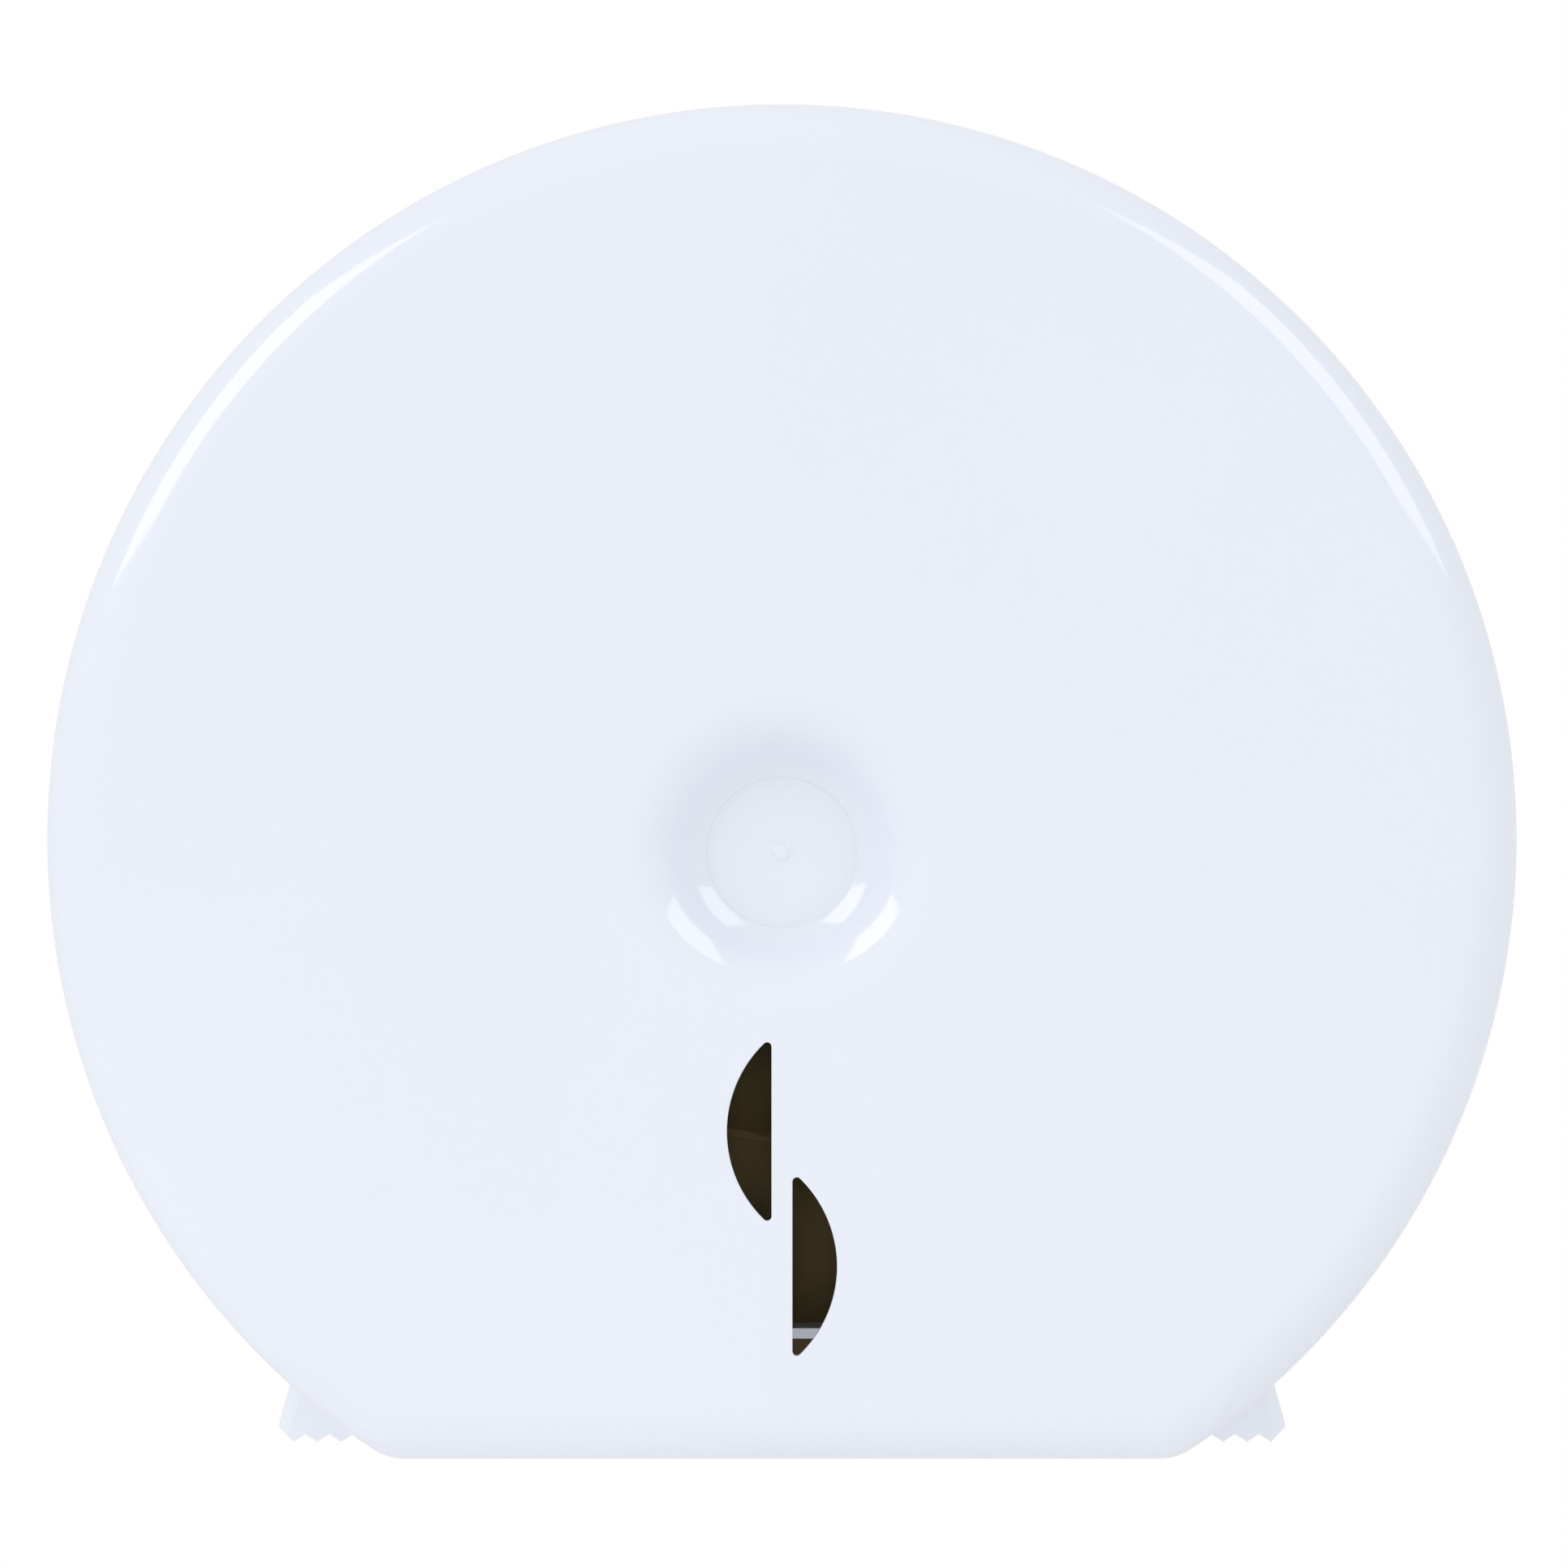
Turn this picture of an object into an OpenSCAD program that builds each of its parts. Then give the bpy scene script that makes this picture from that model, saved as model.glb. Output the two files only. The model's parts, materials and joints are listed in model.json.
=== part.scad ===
// Jumbo toilet roll dispenser: a drum-shaped cover hinged at the foot of a wall base, a spindle
// whose sleeve turns freely with the roll, a tear frame at the paper mouth and a cam lock on top.
// Millimetres, +Z up. The wall is the plane y = 0 and the front looks along -Y. The origin is on
// the wall, at the centre of the round housing.

/* [Housing] */
// Radius of the round housing at the cover's back edge
housing_r = 135; // [130:1:142]
// Drop from the housing's centre to its flat bottom
flat_drop = 114; // [110:1:117]
// Radius of the two corners between the round side and the flat bottom
corner_r = 12; // [11.5:0.5:16]
// Depth from the wall to the front face
depth = 125; // [120:1:140]

/* [Cover] */
// Wall thickness of the cover
cover_wall = 2.5; // [2:0.25:3]
// Radius of the rolled edge between the side wall and the front face
cover_edge_r = 10; // [7:0.5:10.5]
// Draft angle of the side wall, in degrees
cover_draft = 0.5; // [0.2:0.1:1]
// Gap between the base rim and the cover's back edge
cover_gap = 2.5; // [2:0.25:3.5]

/* [Dish] */
// Drop of the spindle and the dish below the housing's centre
spindle_drop = 2.4; // [0:0.2:5]
// Radius of the dish's flat floor
dish_floor_r = 14.2; // [11:0.2:17]
// Radius at which the dish runs out into the front face
dish_rim_r = 29.5; // [27:0.5:34]
// Depth of the dish
dish_depth = 9.5; // [7:0.5:10]
// Radius of the moulding gate's ring on the dish floor
gate_r = 1.6; // [1:0.1:3]
// Width and height of that ring's bead
gate_bead = 0.5; // [0.3:0.1:0.8]

/* [Windows] */
// Length of a half-moon window between its unrounded tips
window_len = 34.4; // [26:0.2:38]
// Width of a half-moon window
window_w = 8.1; // [6:0.1:10]
// Radius of a window's tips
window_tip_r = 0.8; // [0.5:0.1:1.2]
// Distance between the two windows' straight sides
window_gap = 3.8; // [3:0.2:8]
// Height of the left window above the right one
window_shift = 24.5; // [10:0.5:30]
// Drop from the housing's centre to the middle of the pair of windows
windows_drop = 65.3; // [62:0.1:68]

/* [Paper mouth] */
// Strip of the cover's bottom left in front of the mouth, measured from the front face
mouth_lip = 17; // [14:0.5:22]
// Radius of the mouth's front corners
mouth_corner_r = 6; // [3:0.5:10]
// Height of the stiffening rib behind that strip
lip_rib_h = 4; // [3:0.5:6]
// Thickness of that rib
lip_rib_t = 2; // [1.5:0.25:3]

/* [Hinge] */
// Diameter of a hinge pin
pin_d = 3; // [2.5:0.5:4]
// Outer radius of a cover knuckle and of a frame lug's end
knuckle_r = 3.8; // [3.2:0.1:3.9]
// Length of a cover knuckle
knuckle_len = 6.3; // [5:0.1:8]
// Thickness of a frame lug
lug_t = 6; // [5:0.5:7]
// Side gap between a lug and its knuckle
hinge_side_gap = 0.5; // [0.3:0.1:0.8]
// Height of the hinge axis above the flat bottom
hinge_rise = 4; // [4:0.1:5]
// Distance of the hinge axis ahead of the cover's back edge
hinge_ahead = 4.5; // [4.2:0.1:6]
// Radius of a pin's domed head
pin_head_r = 2.6; // [2.3:0.1:3.2]
// Thickness of a pin's domed head
pin_head_t = 1.4; // [1:0.1:2]

/* [Base] */
// Thickness of the base's back plate
plate_t = 3; // [2.5:0.25:4]
// Height of the base rim above the wall
rim_h = 20; // [19:0.5:22]
// Wall thickness of the base rim
rim_wall = 2.5; // [2:0.25:3]
// How far the base stands back inside the cover's outline
base_inset = 0.5; // [0.2:0.1:1]
// Gap between the base's spigot and the cover's inner face
spigot_gap = 1.5; // [1.2:0.1:2.5]
// Wall thickness of the spigot
spigot_wall = 2; // [1.5:0.25:2.5]
// Height of the spigot above the base rim
spigot_h = 12; // [6:0.5:13]
// Width of the gap in the spigot at the lock
spigot_notch = 34; // [30:1:40]
// Lowest point of the spigot, below the housing's centre
spigot_low = 60; // [40:1:65]

/* [Base ribs] */
// Number of radial ribs on the back plate
rib_count = 12; // [12:12:24]
// Thickness of a rib
rib_t = 1.8; // [1.2:0.2:2.4]
// Height of the ribs above the plate
rib_h = 6; // [3:0.5:7]
// Radius of the ring rib
ring_rib_r = 59; // [50:1:64]

/* [Wall fixing] */
// Distance between wall screw holes, side to side
fix_w = 110; // [104:1:116]
// Distance between wall screw holes, up and down
fix_h = 110; // [104:1:116]
// Diameter of a wall screw hole
fix_hole_d = 5.5; // [4.5:0.5:6.5]
// Diameter of the boss round a wall screw hole
fix_boss_d = 16; // [13:0.5:18]
// Height of that boss above the plate
fix_boss_h = 5; // [2:0.5:8]

/* [Spindle] */
// Outer radius of the sleeve that carries the roll's core
sleeve_r = 21; // [20:0.5:24]
// Gap between the sleeve's end cap and the back of the dish
dish_gap = 5.5; // [4:0.5:8]
// Wall thickness of the sleeve's drum
sleeve_wall = 2; // [1.6:0.2:3]
// Wall thickness of the sleeve's bearing tube
tube_wall = 2.4; // [1.6:0.2:3]
// Number of webs between drum and tube
web_count = 6; // [4:1:10]
// Thickness of a web
web_t = 1.6; // [1.2:0.2:2.4]
// Radius of the sleeve's back flange
flange_r = 31; // [28:0.5:40]
// Thickness of the sleeve's back flange
flange_t = 2.5; // [2:0.25:4]
// Radius of the fixed axle
axle_r = 8; // [7:0.5:8.5]
// Radial running clearance between axle and sleeve
axle_clearance = 0.08; // [0.05:0.01:0.1]
// Radius of the axle's mounting flange
axle_flange_r = 22; // [21.5:0.5:24]
// Thickness of the axle's mounting flange
axle_flange_t = 3.5; // [3:0.25:4.5]
// Radius of the base's spindle boss
boss_r = 25; // [24.5:0.5:27]
// Height of the base's spindle boss above the wall
boss_h = 12; // [10:0.5:13]
// Gap between the axle's flange and the sleeve, where the drag spring sits
spring_gap = 2.5; // [2.5:0.1:3]
// Thickness of the drag spring's dished steel
spring_t = 0.6; // [0.4:0.1:0.8]
// Radius of the drag spring
spring_r = 13.5; // [11:0.5:14]
// Radius of the retaining washer
washer_r = 10.4; // [9:0.2:12]
// Thickness of the retaining washer
washer_t = 1.2; // [0.8:0.1:2]
// End play of the sleeve under the retaining washer
end_play = 0.3; // [0.2:0.1:0.6]
// Height of the sleeve's end cap
cap_h = 7.5; // [7:0.5:8]
// Wall thickness of the end cap
cap_wall = 2; // [1.5:0.25:2.5]
// Length of the end cap's skirt inside the sleeve
cap_skirt = 6; // [4:0.5:10]
// Radial gap between the skirt and the sleeve's drum
cap_gap = 0.2; // [0.1:0.05:0.3]

/* [Screws] */
// Number of screws that hold the axle
axle_screw_count = 3; // [3:1:4]
// Radius of the circle of axle screws
axle_screw_pcr = 18.2; // [18:0.1:18.5]
// Shank diameter of the small screws
screw_d = 3; // [2.5:0.5:3.5]
// Head diameter of the small screws
screw_head_d = 5.6; // [5:0.1:6]
// Head height of the small screws
screw_head_h = 1.9; // [1.6:0.1:2.1]
// Clearance round a screw's shank in its hole, on the radius
screw_clearance = 0.1; // [0.05:0.05:0.2]
// Length of an axle screw's shank
axle_screw_len = 10; // [8:0.5:11]

/* [Tear frame] */
// How far the tear corner reaches sideways past the round housing, at the flat bottom's level
ear_reach = 25.8; // [22:0.1:28]
// How far the teeth stand below the flat bottom
ear_drop = 3.75; // [3:0.25:5]
// Height of the frame's end blocks above the flat bottom
block_h = 26; // [24:0.5:30]
// Height of the bridge's top above the flat bottom
bridge_rise = 18.3; // [15:0.1:21]
// Where the end block's shoulder starts to rise, outside the knuckle's inner end
shoulder_in = 5; // [3:0.5:8]
// Sideways run of that shoulder
shoulder_run = 8; // [5:0.5:12]
// Thickness of the bridge
bridge_t = 2; // [1.5:0.25:3]
// Wall thickness of the frame's end blocks
frame_wall = 2; // [1.6:0.2:2.6]
// Slant of the ear's outer edge, in degrees from upright
ear_slant = 15; // [10:1:18]
// Pitch of the teeth
tooth_pitch = 4.65; // [4:0.05:6]
// Height of the teeth
tooth_h = 1.5; // [1.2:0.1:2]
// Height of the ear's top below the end block's
ear_top_drop = 5; // [3:0.5:8]
// How far the ear's top falls on its way into the end block
ear_top_fall = 6; // [4:0.5:8]
// Bevel along the foot of the ear's outer wall
ear_bevel = 3; // [2:0.5:3.5]
// Radius of the ear's upright front corner
ear_corner_r = 3; // [2.5:0.5:6]
// Clearance between the frame and the base
frame_gap = 0.2; // [0.1:0.05:0.3]
// Rise of the frame's inner screws above its foot
frame_screw_low = 10; // [9:0.5:12]
// Rise of the frame's outer screws above its foot
frame_screw_high = 17.5; // [15:0.5:19]
// How far outside the knuckle the frame's inner screws sit
frame_screw_in = 3; // [2.5:0.5:5]
// How far outside the inner screws the outer ones sit
frame_screw_apart = 17; // [14:0.5:19]
// Depth of the frame's screws in the base plate
frame_screw_bite = 2; // [1:0.25:2.2]

/* [Lock] */
// Radius of the lock body's threaded barrel
lock_r = 6; // [5.5:0.25:6.5]
// Radius of the lock body's flange
lock_flange_r = 9; // [8:0.5:10]
// Thickness of the lock body's flange
lock_flange_t = 2; // [1.5:0.25:2.5]
// Length of the lock body below its seat
lock_len = 14.5; // [13:0.5:17]
// Radius of the pad that the lock seats on
pad_r = 11.5; // [10.5:0.5:13]
// Thickness of that pad
pad_t = 6; // [5:0.5:7]
// Gap between that pad and the base's spigot
pad_gap = 1; // [0.8:0.1:2]
// Height of the pad's top above the round of the cover
pad_stand = 0.4; // [0.2:0.1:1]
// Width across flats of the lock nut
nut_af = 14; // [13:0.5:15]
// Thickness of the lock nut
nut_t = 3.5; // [2.5:0.5:4]
// Radius of the turning key barrel
key_r = 4.5; // [4:0.25:4.75]
// Radial running clearance of the key barrel
key_clearance = 0.05; // [0.03:0.01:0.08]
// Width of the key slot
key_slot_w = 1.6; // [1.2:0.1:2]
// Length of the key slot
key_slot_len = 7; // [5:0.5:7.5]
// Side of the key barrel's square end
key_square = 6; // [5:0.25:6]
// Reach of the cam from the lock's axis
cam_reach = 15.5; // [15:0.5:17]
// Width of the cam
cam_w = 7; // [6:0.5:8]
// Thickness of the cam
cam_t = 2; // [1.5:0.25:2.5]
// Radius of the cam's hub
cam_hub_r = 6; // [5.5:0.25:6.25]

/* [Catch] */
// Thickness of the catch's steel
catch_t = 2; // [1.5:0.25:2.5]
// Width of the catch
catch_w = 10; // [8:0.5:12]
// Side gap between the lock's hub and the catch
catch_side_gap = 1.2; // [0.8:0.1:2]
// Gap between the locked cam and the catch's lip
catch_gap = 0.8; // [0.5:0.1:1.2]
// Gap between the cam and the catch's arm below it
catch_under = 2.5; // [1.5:0.25:3.5]
// Height of the catch's foot on the plate
catch_foot_h = 18; // [16:0.5:22]
// Distance of the catch's first screw from its foot's end
catch_screw_in = 5; // [4:0.5:6]
// Distance between the catch's two screws
catch_screw_apart = 7; // [6.5:0.5:8]

/* [Hidden] */
$fn = 96;

cut = 1;                     // how far a cutting shape runs past the face that it cuts
lap = 0.15;                  // how far two stretches of one wall run into each other
eps = 0.01;

// To a thousandth, so that pieces which meet start from the very same number
function trim(x) = round(1000 * x) / 1000;

// Corner centres of the outline. Each corner's round stands a hair proud of the round side and of
// the flat bottom that run into it, so that it covers both their ends.
corner_y = -(flat_drop - corner_r);
corner_x = trim(sqrt(pow(housing_r - corner_r, 2) - pow(corner_y, 2)));
corner_proud = 0.03;

// Cover
cover_back = rim_h + cover_gap;
edge_z = depth - cover_edge_r;
draft_in = trim((edge_z - cover_back) * tan(cover_draft));
dish_arc_r = (pow(dish_rim_r - dish_floor_r, 2) + pow(dish_depth, 2)) / (2 * dish_depth);
dish_back = depth - dish_depth - cover_wall;

// Hinge: the knuckles sit at the two ends of the flat bottom, the lugs just inside them
hinge_y = -flat_drop + hinge_rise;
hinge_z = cover_back + hinge_ahead;
pin_r = pin_d / 2;
pin_press = 0.02;            // radial gap of a pin in its lug
pin_running = 0.06;          // radial clearance of a pin in its knuckle
knuckle_x1 = corner_x + 0.6;
knuckle_x0 = knuckle_x1 - knuckle_len;
lug_x1 = knuckle_x0 - hinge_side_gap;
lug_x0 = lug_x1 - lug_t;
mouth_front = depth - mouth_lip;

// Base
base_r = housing_r - base_inset;
plate_inset = base_inset + 0.3;
spigot_r = housing_r - cover_wall - spigot_gap;
spigot_top = rim_h + spigot_h;
step_t = rim_wall;

// Tear frame
frame_foot = -flat_drop + base_inset;
block_y = -flat_drop + block_h;
bridge_y = -flat_drop + bridge_rise;
teeth_y = -flat_drop - ear_drop;
ear_x = sqrt(pow(base_r, 2) - pow(frame_foot, 2)) + ear_reach;
ear_edge_y = teeth_y + ear_bevel;
ear_root_x = knuckle_x1 - 2;

// Spindle
sleeve_back = boss_h + axle_flange_t + spring_gap;
sleeve_front = dish_back - dish_gap - cap_h;
axle_front = sleeve_front + end_play;
screw_r = screw_d / 2;
end_screw_len = 16;
end_screw_r = 2;
end_screw_head_r = 4;
end_screw_head_h = 2.4;

// Lock
lock_y = housing_r + pad_stand;
lock_z = spigot_top + pad_r + pad_gap;
cam_top = -lock_len - 0.3;   // in the lock's own frame, below its seat
catch_x = cam_hub_r + catch_side_gap;
catch_y = lock_y + cam_top - cam_t - catch_under;
catch_lip_z = lock_z + cam_w / 2 + catch_gap;
catch_lip_y = lock_y + cam_top + 0.6;

// ---- Frames of reference ---------------------------------------------------------------------

// Stands a drawing made on the wall (x right, y up, z out of the wall) in the part's own frame
module on_wall() {
    rotate([90, 0, 0]) children();
}

// The spindle's axis, within the wall's drawing
module on_spindle() {
    translate([0, -spindle_drop, 0]) children();
}

// The lock's axis, upright through its seat: x right, y towards the wall, z up
module on_lock() {
    translate([0, lock_y, lock_z]) rotate([-90, 0, 0]) children();
}

// The same shape at both sides
module both_sides() {
    children();
    mirror([1, 0, 0]) children();
}

// ---- Plane shapes ----------------------------------------------------------------------------

// A slice of a disc between two angles less than 180 degrees apart
module pie(r, from, to) {
    far = 2 * r;
    mid = (from + to) / 2;
    intersection() {
        circle(r);
        polygon([[0, 0], far * [cos(from), sin(from)], far * [cos(mid), sin(mid)],
            far * [cos(to), sin(to)]]);
    }
}

// A rectangle whose two corners on the far side in x are rounded
module round_ended(x0, x1, y0, y1, r) {
    polygon([[x0, y0], [x1 - r, y0], [x1 - r, y0 + r], [x1, y0 + r], [x1, y1 - r],
        [x1 - r, y1 - r], [x1 - r, y1], [x0, y1]]);
    translate([x1 - r, y0 + r]) pie(r, -90, 0);
    translate([x1 - r, y1 - r]) pie(r, 0, 90);
}

// The wedge below the round side, which the two corners and the flat bottom fill
module foot_wedge() {
    polygon([[0, 0], [3 * corner_x, 3 * corner_y], [-3 * corner_x, 3 * corner_y]]);
}

// The housing's outline, set in from the cover's back edge
module housing_outline(inset) {
    difference() {
        circle(housing_r - inset);
        foot_wedge();
    }
    translate([-corner_x + lap, -flat_drop + inset])
        square([2 * corner_x - 2 * lap, flat_drop - inset]);
    both_sides() translate([corner_x, corner_y]) circle(corner_r + corner_proud - inset);
}

// A half-moon with its straight side on x = 0, bulging towards +x, its two tips rounded
module half_moon() {
    arc_r = (pow(window_len / 2, 2) + pow(window_w, 2)) / (2 * window_w);
    arc_x = window_w - arc_r;
    tip_x = window_tip_r;
    tip_y = sqrt(pow(arc_r - window_tip_r, 2) - pow(tip_x - arc_x, 2));
    tip_a = atan2(tip_y, tip_x - arc_x);
    far = [arc_x + 2 * arc_r * cos(tip_a), 2 * arc_r * sin(tip_a)];
    intersection() {
        translate([arc_x, 0]) circle(arc_r);
        polygon([[0, -tip_y], [tip_x, -tip_y], [far[0], -far[1]], far, [tip_x, tip_y],
            [0, tip_y]]);
    }
    translate([tip_x, tip_y]) pie(window_tip_r, tip_a, 180);
    translate([tip_x, -tip_y]) pie(window_tip_r, -180, -tip_a);
}

// ---- Cover -----------------------------------------------------------------------------------

// The housing's section, filled from x = 0 out to its reach: a drafted side and a rolled edge
module section(reach, inset, back) {
    edge_x = reach - draft_in - cover_edge_r;
    polygon([[0, back], [reach - inset, back], [reach - draft_in - inset, edge_z],
        [edge_x, edge_z], [edge_x, depth - inset], [0, depth - inset]]);
    translate([edge_x, edge_z]) pie(cover_edge_r - inset, 0, 90);
}

// The same section turned about the housing's centre, turned about each corner's centre and drawn
// along the flat bottom, which together fill the housing
module housing_body(inset, back) {
    difference() {
        rotate_extrude() section(housing_r, inset, back);
        translate([0, 0, back - cut]) linear_extrude(depth) foot_wedge();
    }
    both_sides() translate([corner_x, corner_y, 0]) rotate_extrude()
        section(corner_r, inset - corner_proud, back);
    rotate([90, 0, -90]) linear_extrude(2 * corner_x - 2 * lap, center = true)
        section(flat_drop, inset, back);
}

// The dish pressed into the face: a flat floor and a wall that flares out like a trumpet
module dish() {
    arc_centre = [dish_rim_r, depth - dish_arc_r];
    rotate_extrude() {
        difference() {
            translate([0, dish_back]) square([dish_rim_r, cover_wall]);
            translate(arc_centre) circle(dish_arc_r - cover_wall);
        }
        intersection() {
            difference() {
                translate(arc_centre) circle(dish_arc_r);
                translate(arc_centre) circle(dish_arc_r - cover_wall);
            }
            translate([0, dish_back]) square([dish_rim_r, dish_depth + cover_wall + cut]);
        }
        translate([dish_rim_r, depth - cover_wall]) square([lap, cover_wall]);
        translate([gate_r - gate_bead, dish_back + cover_wall - eps])
            square([gate_bead, gate_bead / 2 + eps]);
    }
}

// The two offset half-moon windows, as seen from the front
module windows() {
    translate([-window_gap / 2, -windows_drop + window_shift / 2]) mirror([1, 0]) half_moon();
    translate([window_gap / 2, -windows_drop - window_shift / 2]) half_moon();
}

// Through the cover's bottom, from its back edge to the front strip
module mouth_cut() {
    translate([0, -flat_drop + cover_wall + cut, 0]) rotate([90, 0, 0])
        linear_extrude(cover_wall + 2 * cut) rotate(90)
            round_ended(cover_back - cut, mouth_front, -knuckle_x0, knuckle_x0, mouth_corner_r);
}

// A knuckle with the short web that ties it to the side wall
module knuckle() {
    translate([knuckle_x0, hinge_y, hinge_z]) rotate([0, 90, 0])
        cylinder(h = knuckle_len, r = knuckle_r);
    translate([knuckle_x0, -flat_drop + cover_wall / 2, hinge_z - knuckle_r + 0.4])
        cube([knuckle_len, hinge_rise - cover_wall / 2, 2 * knuckle_r + 4]);
}

module cover() {
    color([0.93, 0.94, 0.97]) on_wall() difference() {
        union() {
            difference() {
                housing_body(0, cover_back);
                housing_body(cover_wall, cover_back - cut);
                on_spindle() translate([0, 0, depth - cover_wall - cut])
                    cylinder(h = cover_wall + 2 * cut, r = dish_rim_r);
            }
            on_spindle() dish();
            both_sides() knuckle();
            on_lock() translate([0, 0, -pad_t]) cylinder(h = pad_t, r = pad_r);
            translate([-knuckle_x0, -flat_drop + cover_wall / 2, mouth_front])
                cube([2 * knuckle_x0, cover_wall / 2 + lip_rib_h, lip_rib_t]);
        }
        mouth_cut();
        translate([0, 0, depth - cover_wall - cut]) linear_extrude(cover_wall + 2 * cut) windows();
        both_sides() translate([knuckle_x0 - cut, hinge_y, hinge_z]) rotate([0, 90, 0])
            cylinder(h = knuckle_len + 2 * cut, r = pin_r + pin_running);
        on_lock() translate([0, 0, -pad_t - cut]) linear_extrude(pad_t + 2 * cut)
            lock_section(lock_r + 0.15);
    }
}

// ---- Base ------------------------------------------------------------------------------------

// Outer wall, step and the spigot that the cover closes over, all round above the tear frame
module rim() {
    inner = spigot_r - spigot_wall;
    below = -block_y - frame_gap;
    difference() {
        rotate_extrude() polygon([
            [base_r, 0],
            [base_r, rim_h],
            [inner, rim_h],
            [inner, rim_h - step_t],
            [base_r - rim_wall, rim_h - step_t],
            [base_r - rim_wall, 0]
        ]);
        translate([-housing_r, -housing_r, -cut]) cube([2 * housing_r, housing_r - below, depth]);
    }
    difference() {
        rotate_extrude() translate([inner, rim_h - step_t / 2])
            square([spigot_wall, spigot_h + step_t / 2]);
        translate([-housing_r, -housing_r, 0]) cube([2 * housing_r, housing_r - spigot_low, depth]);
        translate([-spigot_notch / 2, 0, rim_h]) cube([spigot_notch, housing_r, depth]);
    }
}

module plate_ribs() {
    inner_r = base_r - rim_wall / 2;
    translate([0, 0, plate_t - eps]) linear_extrude(rib_h + eps) intersection() {
        union() {
            for (i = [0 : rib_count - 1])
                rotate(i * 360 / rib_count) translate([boss_r / 2, -rib_t / 2])
                    square([inner_r, rib_t]);
            difference() {
                circle(ring_rib_r + rib_t / 2);
                circle(ring_rib_r - rib_t / 2);
            }
        }
        difference() {
            circle(inner_r);
            translate([-base_r, -base_r]) square([2 * base_r, base_r + bridge_y + 4]);
        }
    }
}

module at_fixings() {
    for (sx = [-1, 1], sy = [-1, 1])
        translate([sx * fix_w / 2, sy * fix_h / 2, 0]) children();
}

module at_axle_screws() {
    for (i = [0 : axle_screw_count - 1])
        rotate([0, 0, 90 + i * 360 / axle_screw_count]) translate([axle_screw_pcr, 0, 0])
            children();
}

module screw_hole(depth_below) {
    translate([0, 0, -depth_below]) cylinder(h = depth_below + cut, r = screw_r + screw_clearance);
}

module back_plate() {
    color([0.17, 0.15, 0.12]) on_wall() difference() {
        union() {
            linear_extrude(plate_t) housing_outline(plate_inset);
            rim();
            plate_ribs();
            on_spindle() cylinder(h = boss_h, r = boss_r);
            at_fixings() cylinder(h = plate_t + fix_boss_h, r = fix_boss_d / 2);
        }
        at_fixings() translate([0, 0, -cut])
            cylinder(h = plate_t + fix_boss_h + 2 * cut, r = fix_hole_d / 2);
        on_spindle() translate([0, 0, -cut])
            cylinder(h = boss_h - plate_t + cut, r = axle_screw_pcr - 5);
        on_spindle() at_axle_screws() translate([0, 0, boss_h])
            screw_hole(axle_screw_len - axle_flange_t + 0.5);
        at_frame_screws() translate([0, 0, plate_t]) screw_hole(frame_screw_bite + 0.2);
        at_catch_screws() translate([0, 0, plate_t]) screw_hole(frame_screw_bite + 0.2);
    }
}

// ---- Tear frame ------------------------------------------------------------------------------

// The part of an end block that lies inside the round housing, set in by its wall
module block_core(inset) {
    intersection() {
        circle(base_r - inset);
        polygon([
            [lug_x0 + inset, bridge_y - inset],
            [knuckle_x0 + shoulder_in, bridge_y - inset],
            [knuckle_x0 + shoulder_in + shoulder_run, block_y - inset],
            [base_r, block_y - inset],
            [base_r, frame_foot + inset],
            [lug_x0 + inset, frame_foot + inset]
        ]);
    }
}

// The ear that stands out past the housing: its outer edge slants, its foot is bevelled
module ear_shape(inset, foot) {
    slant = tan(ear_slant);
    outer = ear_x - inset / cos(ear_slant);
    top = block_y - ear_top_drop - inset;
    bevel = (foot < teeth_y) ? 0 : ear_bevel;
    polygon([
        [ear_root_x + inset, top - ear_top_fall],
        [outer - (top - ear_edge_y) * slant, top],
        [outer, foot + bevel],
        [outer - bevel, foot],
        [ear_root_x + inset, foot]
    ]);
}

// Rounds the upright front corner of an ear, along its slanted edge
module ear_corner_cut(inset) {
    r = ear_corner_r - inset;
    translate([ear_x - inset / cos(ear_slant), ear_edge_y, rim_h - inset]) rotate([0, 0, ear_slant])
        rotate([90, 0, 0]) linear_extrude(4 * block_h, center = true) difference() {
            translate([-r, -r]) square([2 * r, 2 * r]);
            translate([-r, -r]) circle(r);
        }
}

module tooth_notch(length) {
    linear_extrude(length)
        polygon([[-tooth_pitch, -tooth_h], [0, tooth_h], [tooth_pitch, -tooth_h]]);
}

// Notches along the ear's front wall and along its outer wall
module tooth_cuts() {
    first = ear_x - ear_bevel - tooth_pitch / 2;
    for (i = [0 : 5])
        translate([first - i * tooth_pitch, teeth_y, rim_h - 2 * frame_wall])
            tooth_notch(2 * frame_wall + cut);
    for (i = [0 : 2])
        translate([ear_x - 3 * frame_wall, teeth_y + ear_bevel / 2,
            rim_h - ear_corner_r - (i + 0.5) * tooth_pitch])
            rotate([0, 90, 0]) rotate([0, 0, 90]) mirror([0, 1, 0]) tooth_notch(4 * frame_wall);
}

// A lug reaches out from the block's front and carries one end of the hinge pin
module lug() {
    translate([lug_x0, 0, 0]) rotate([90, 0, 90]) linear_extrude(lug_t) {
        polygon([
            [hinge_y - knuckle_r, rim_h - frame_wall],
            [hinge_y - knuckle_r, hinge_z],
            [hinge_y + knuckle_r, hinge_z],
            [hinge_y + knuckle_r + 4, rim_h - frame_wall]
        ]);
        translate([hinge_y, hinge_z]) pie(knuckle_r, 0, 90);
        translate([hinge_y, hinge_z]) pie(knuckle_r, 90, 180);
    }
}

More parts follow.
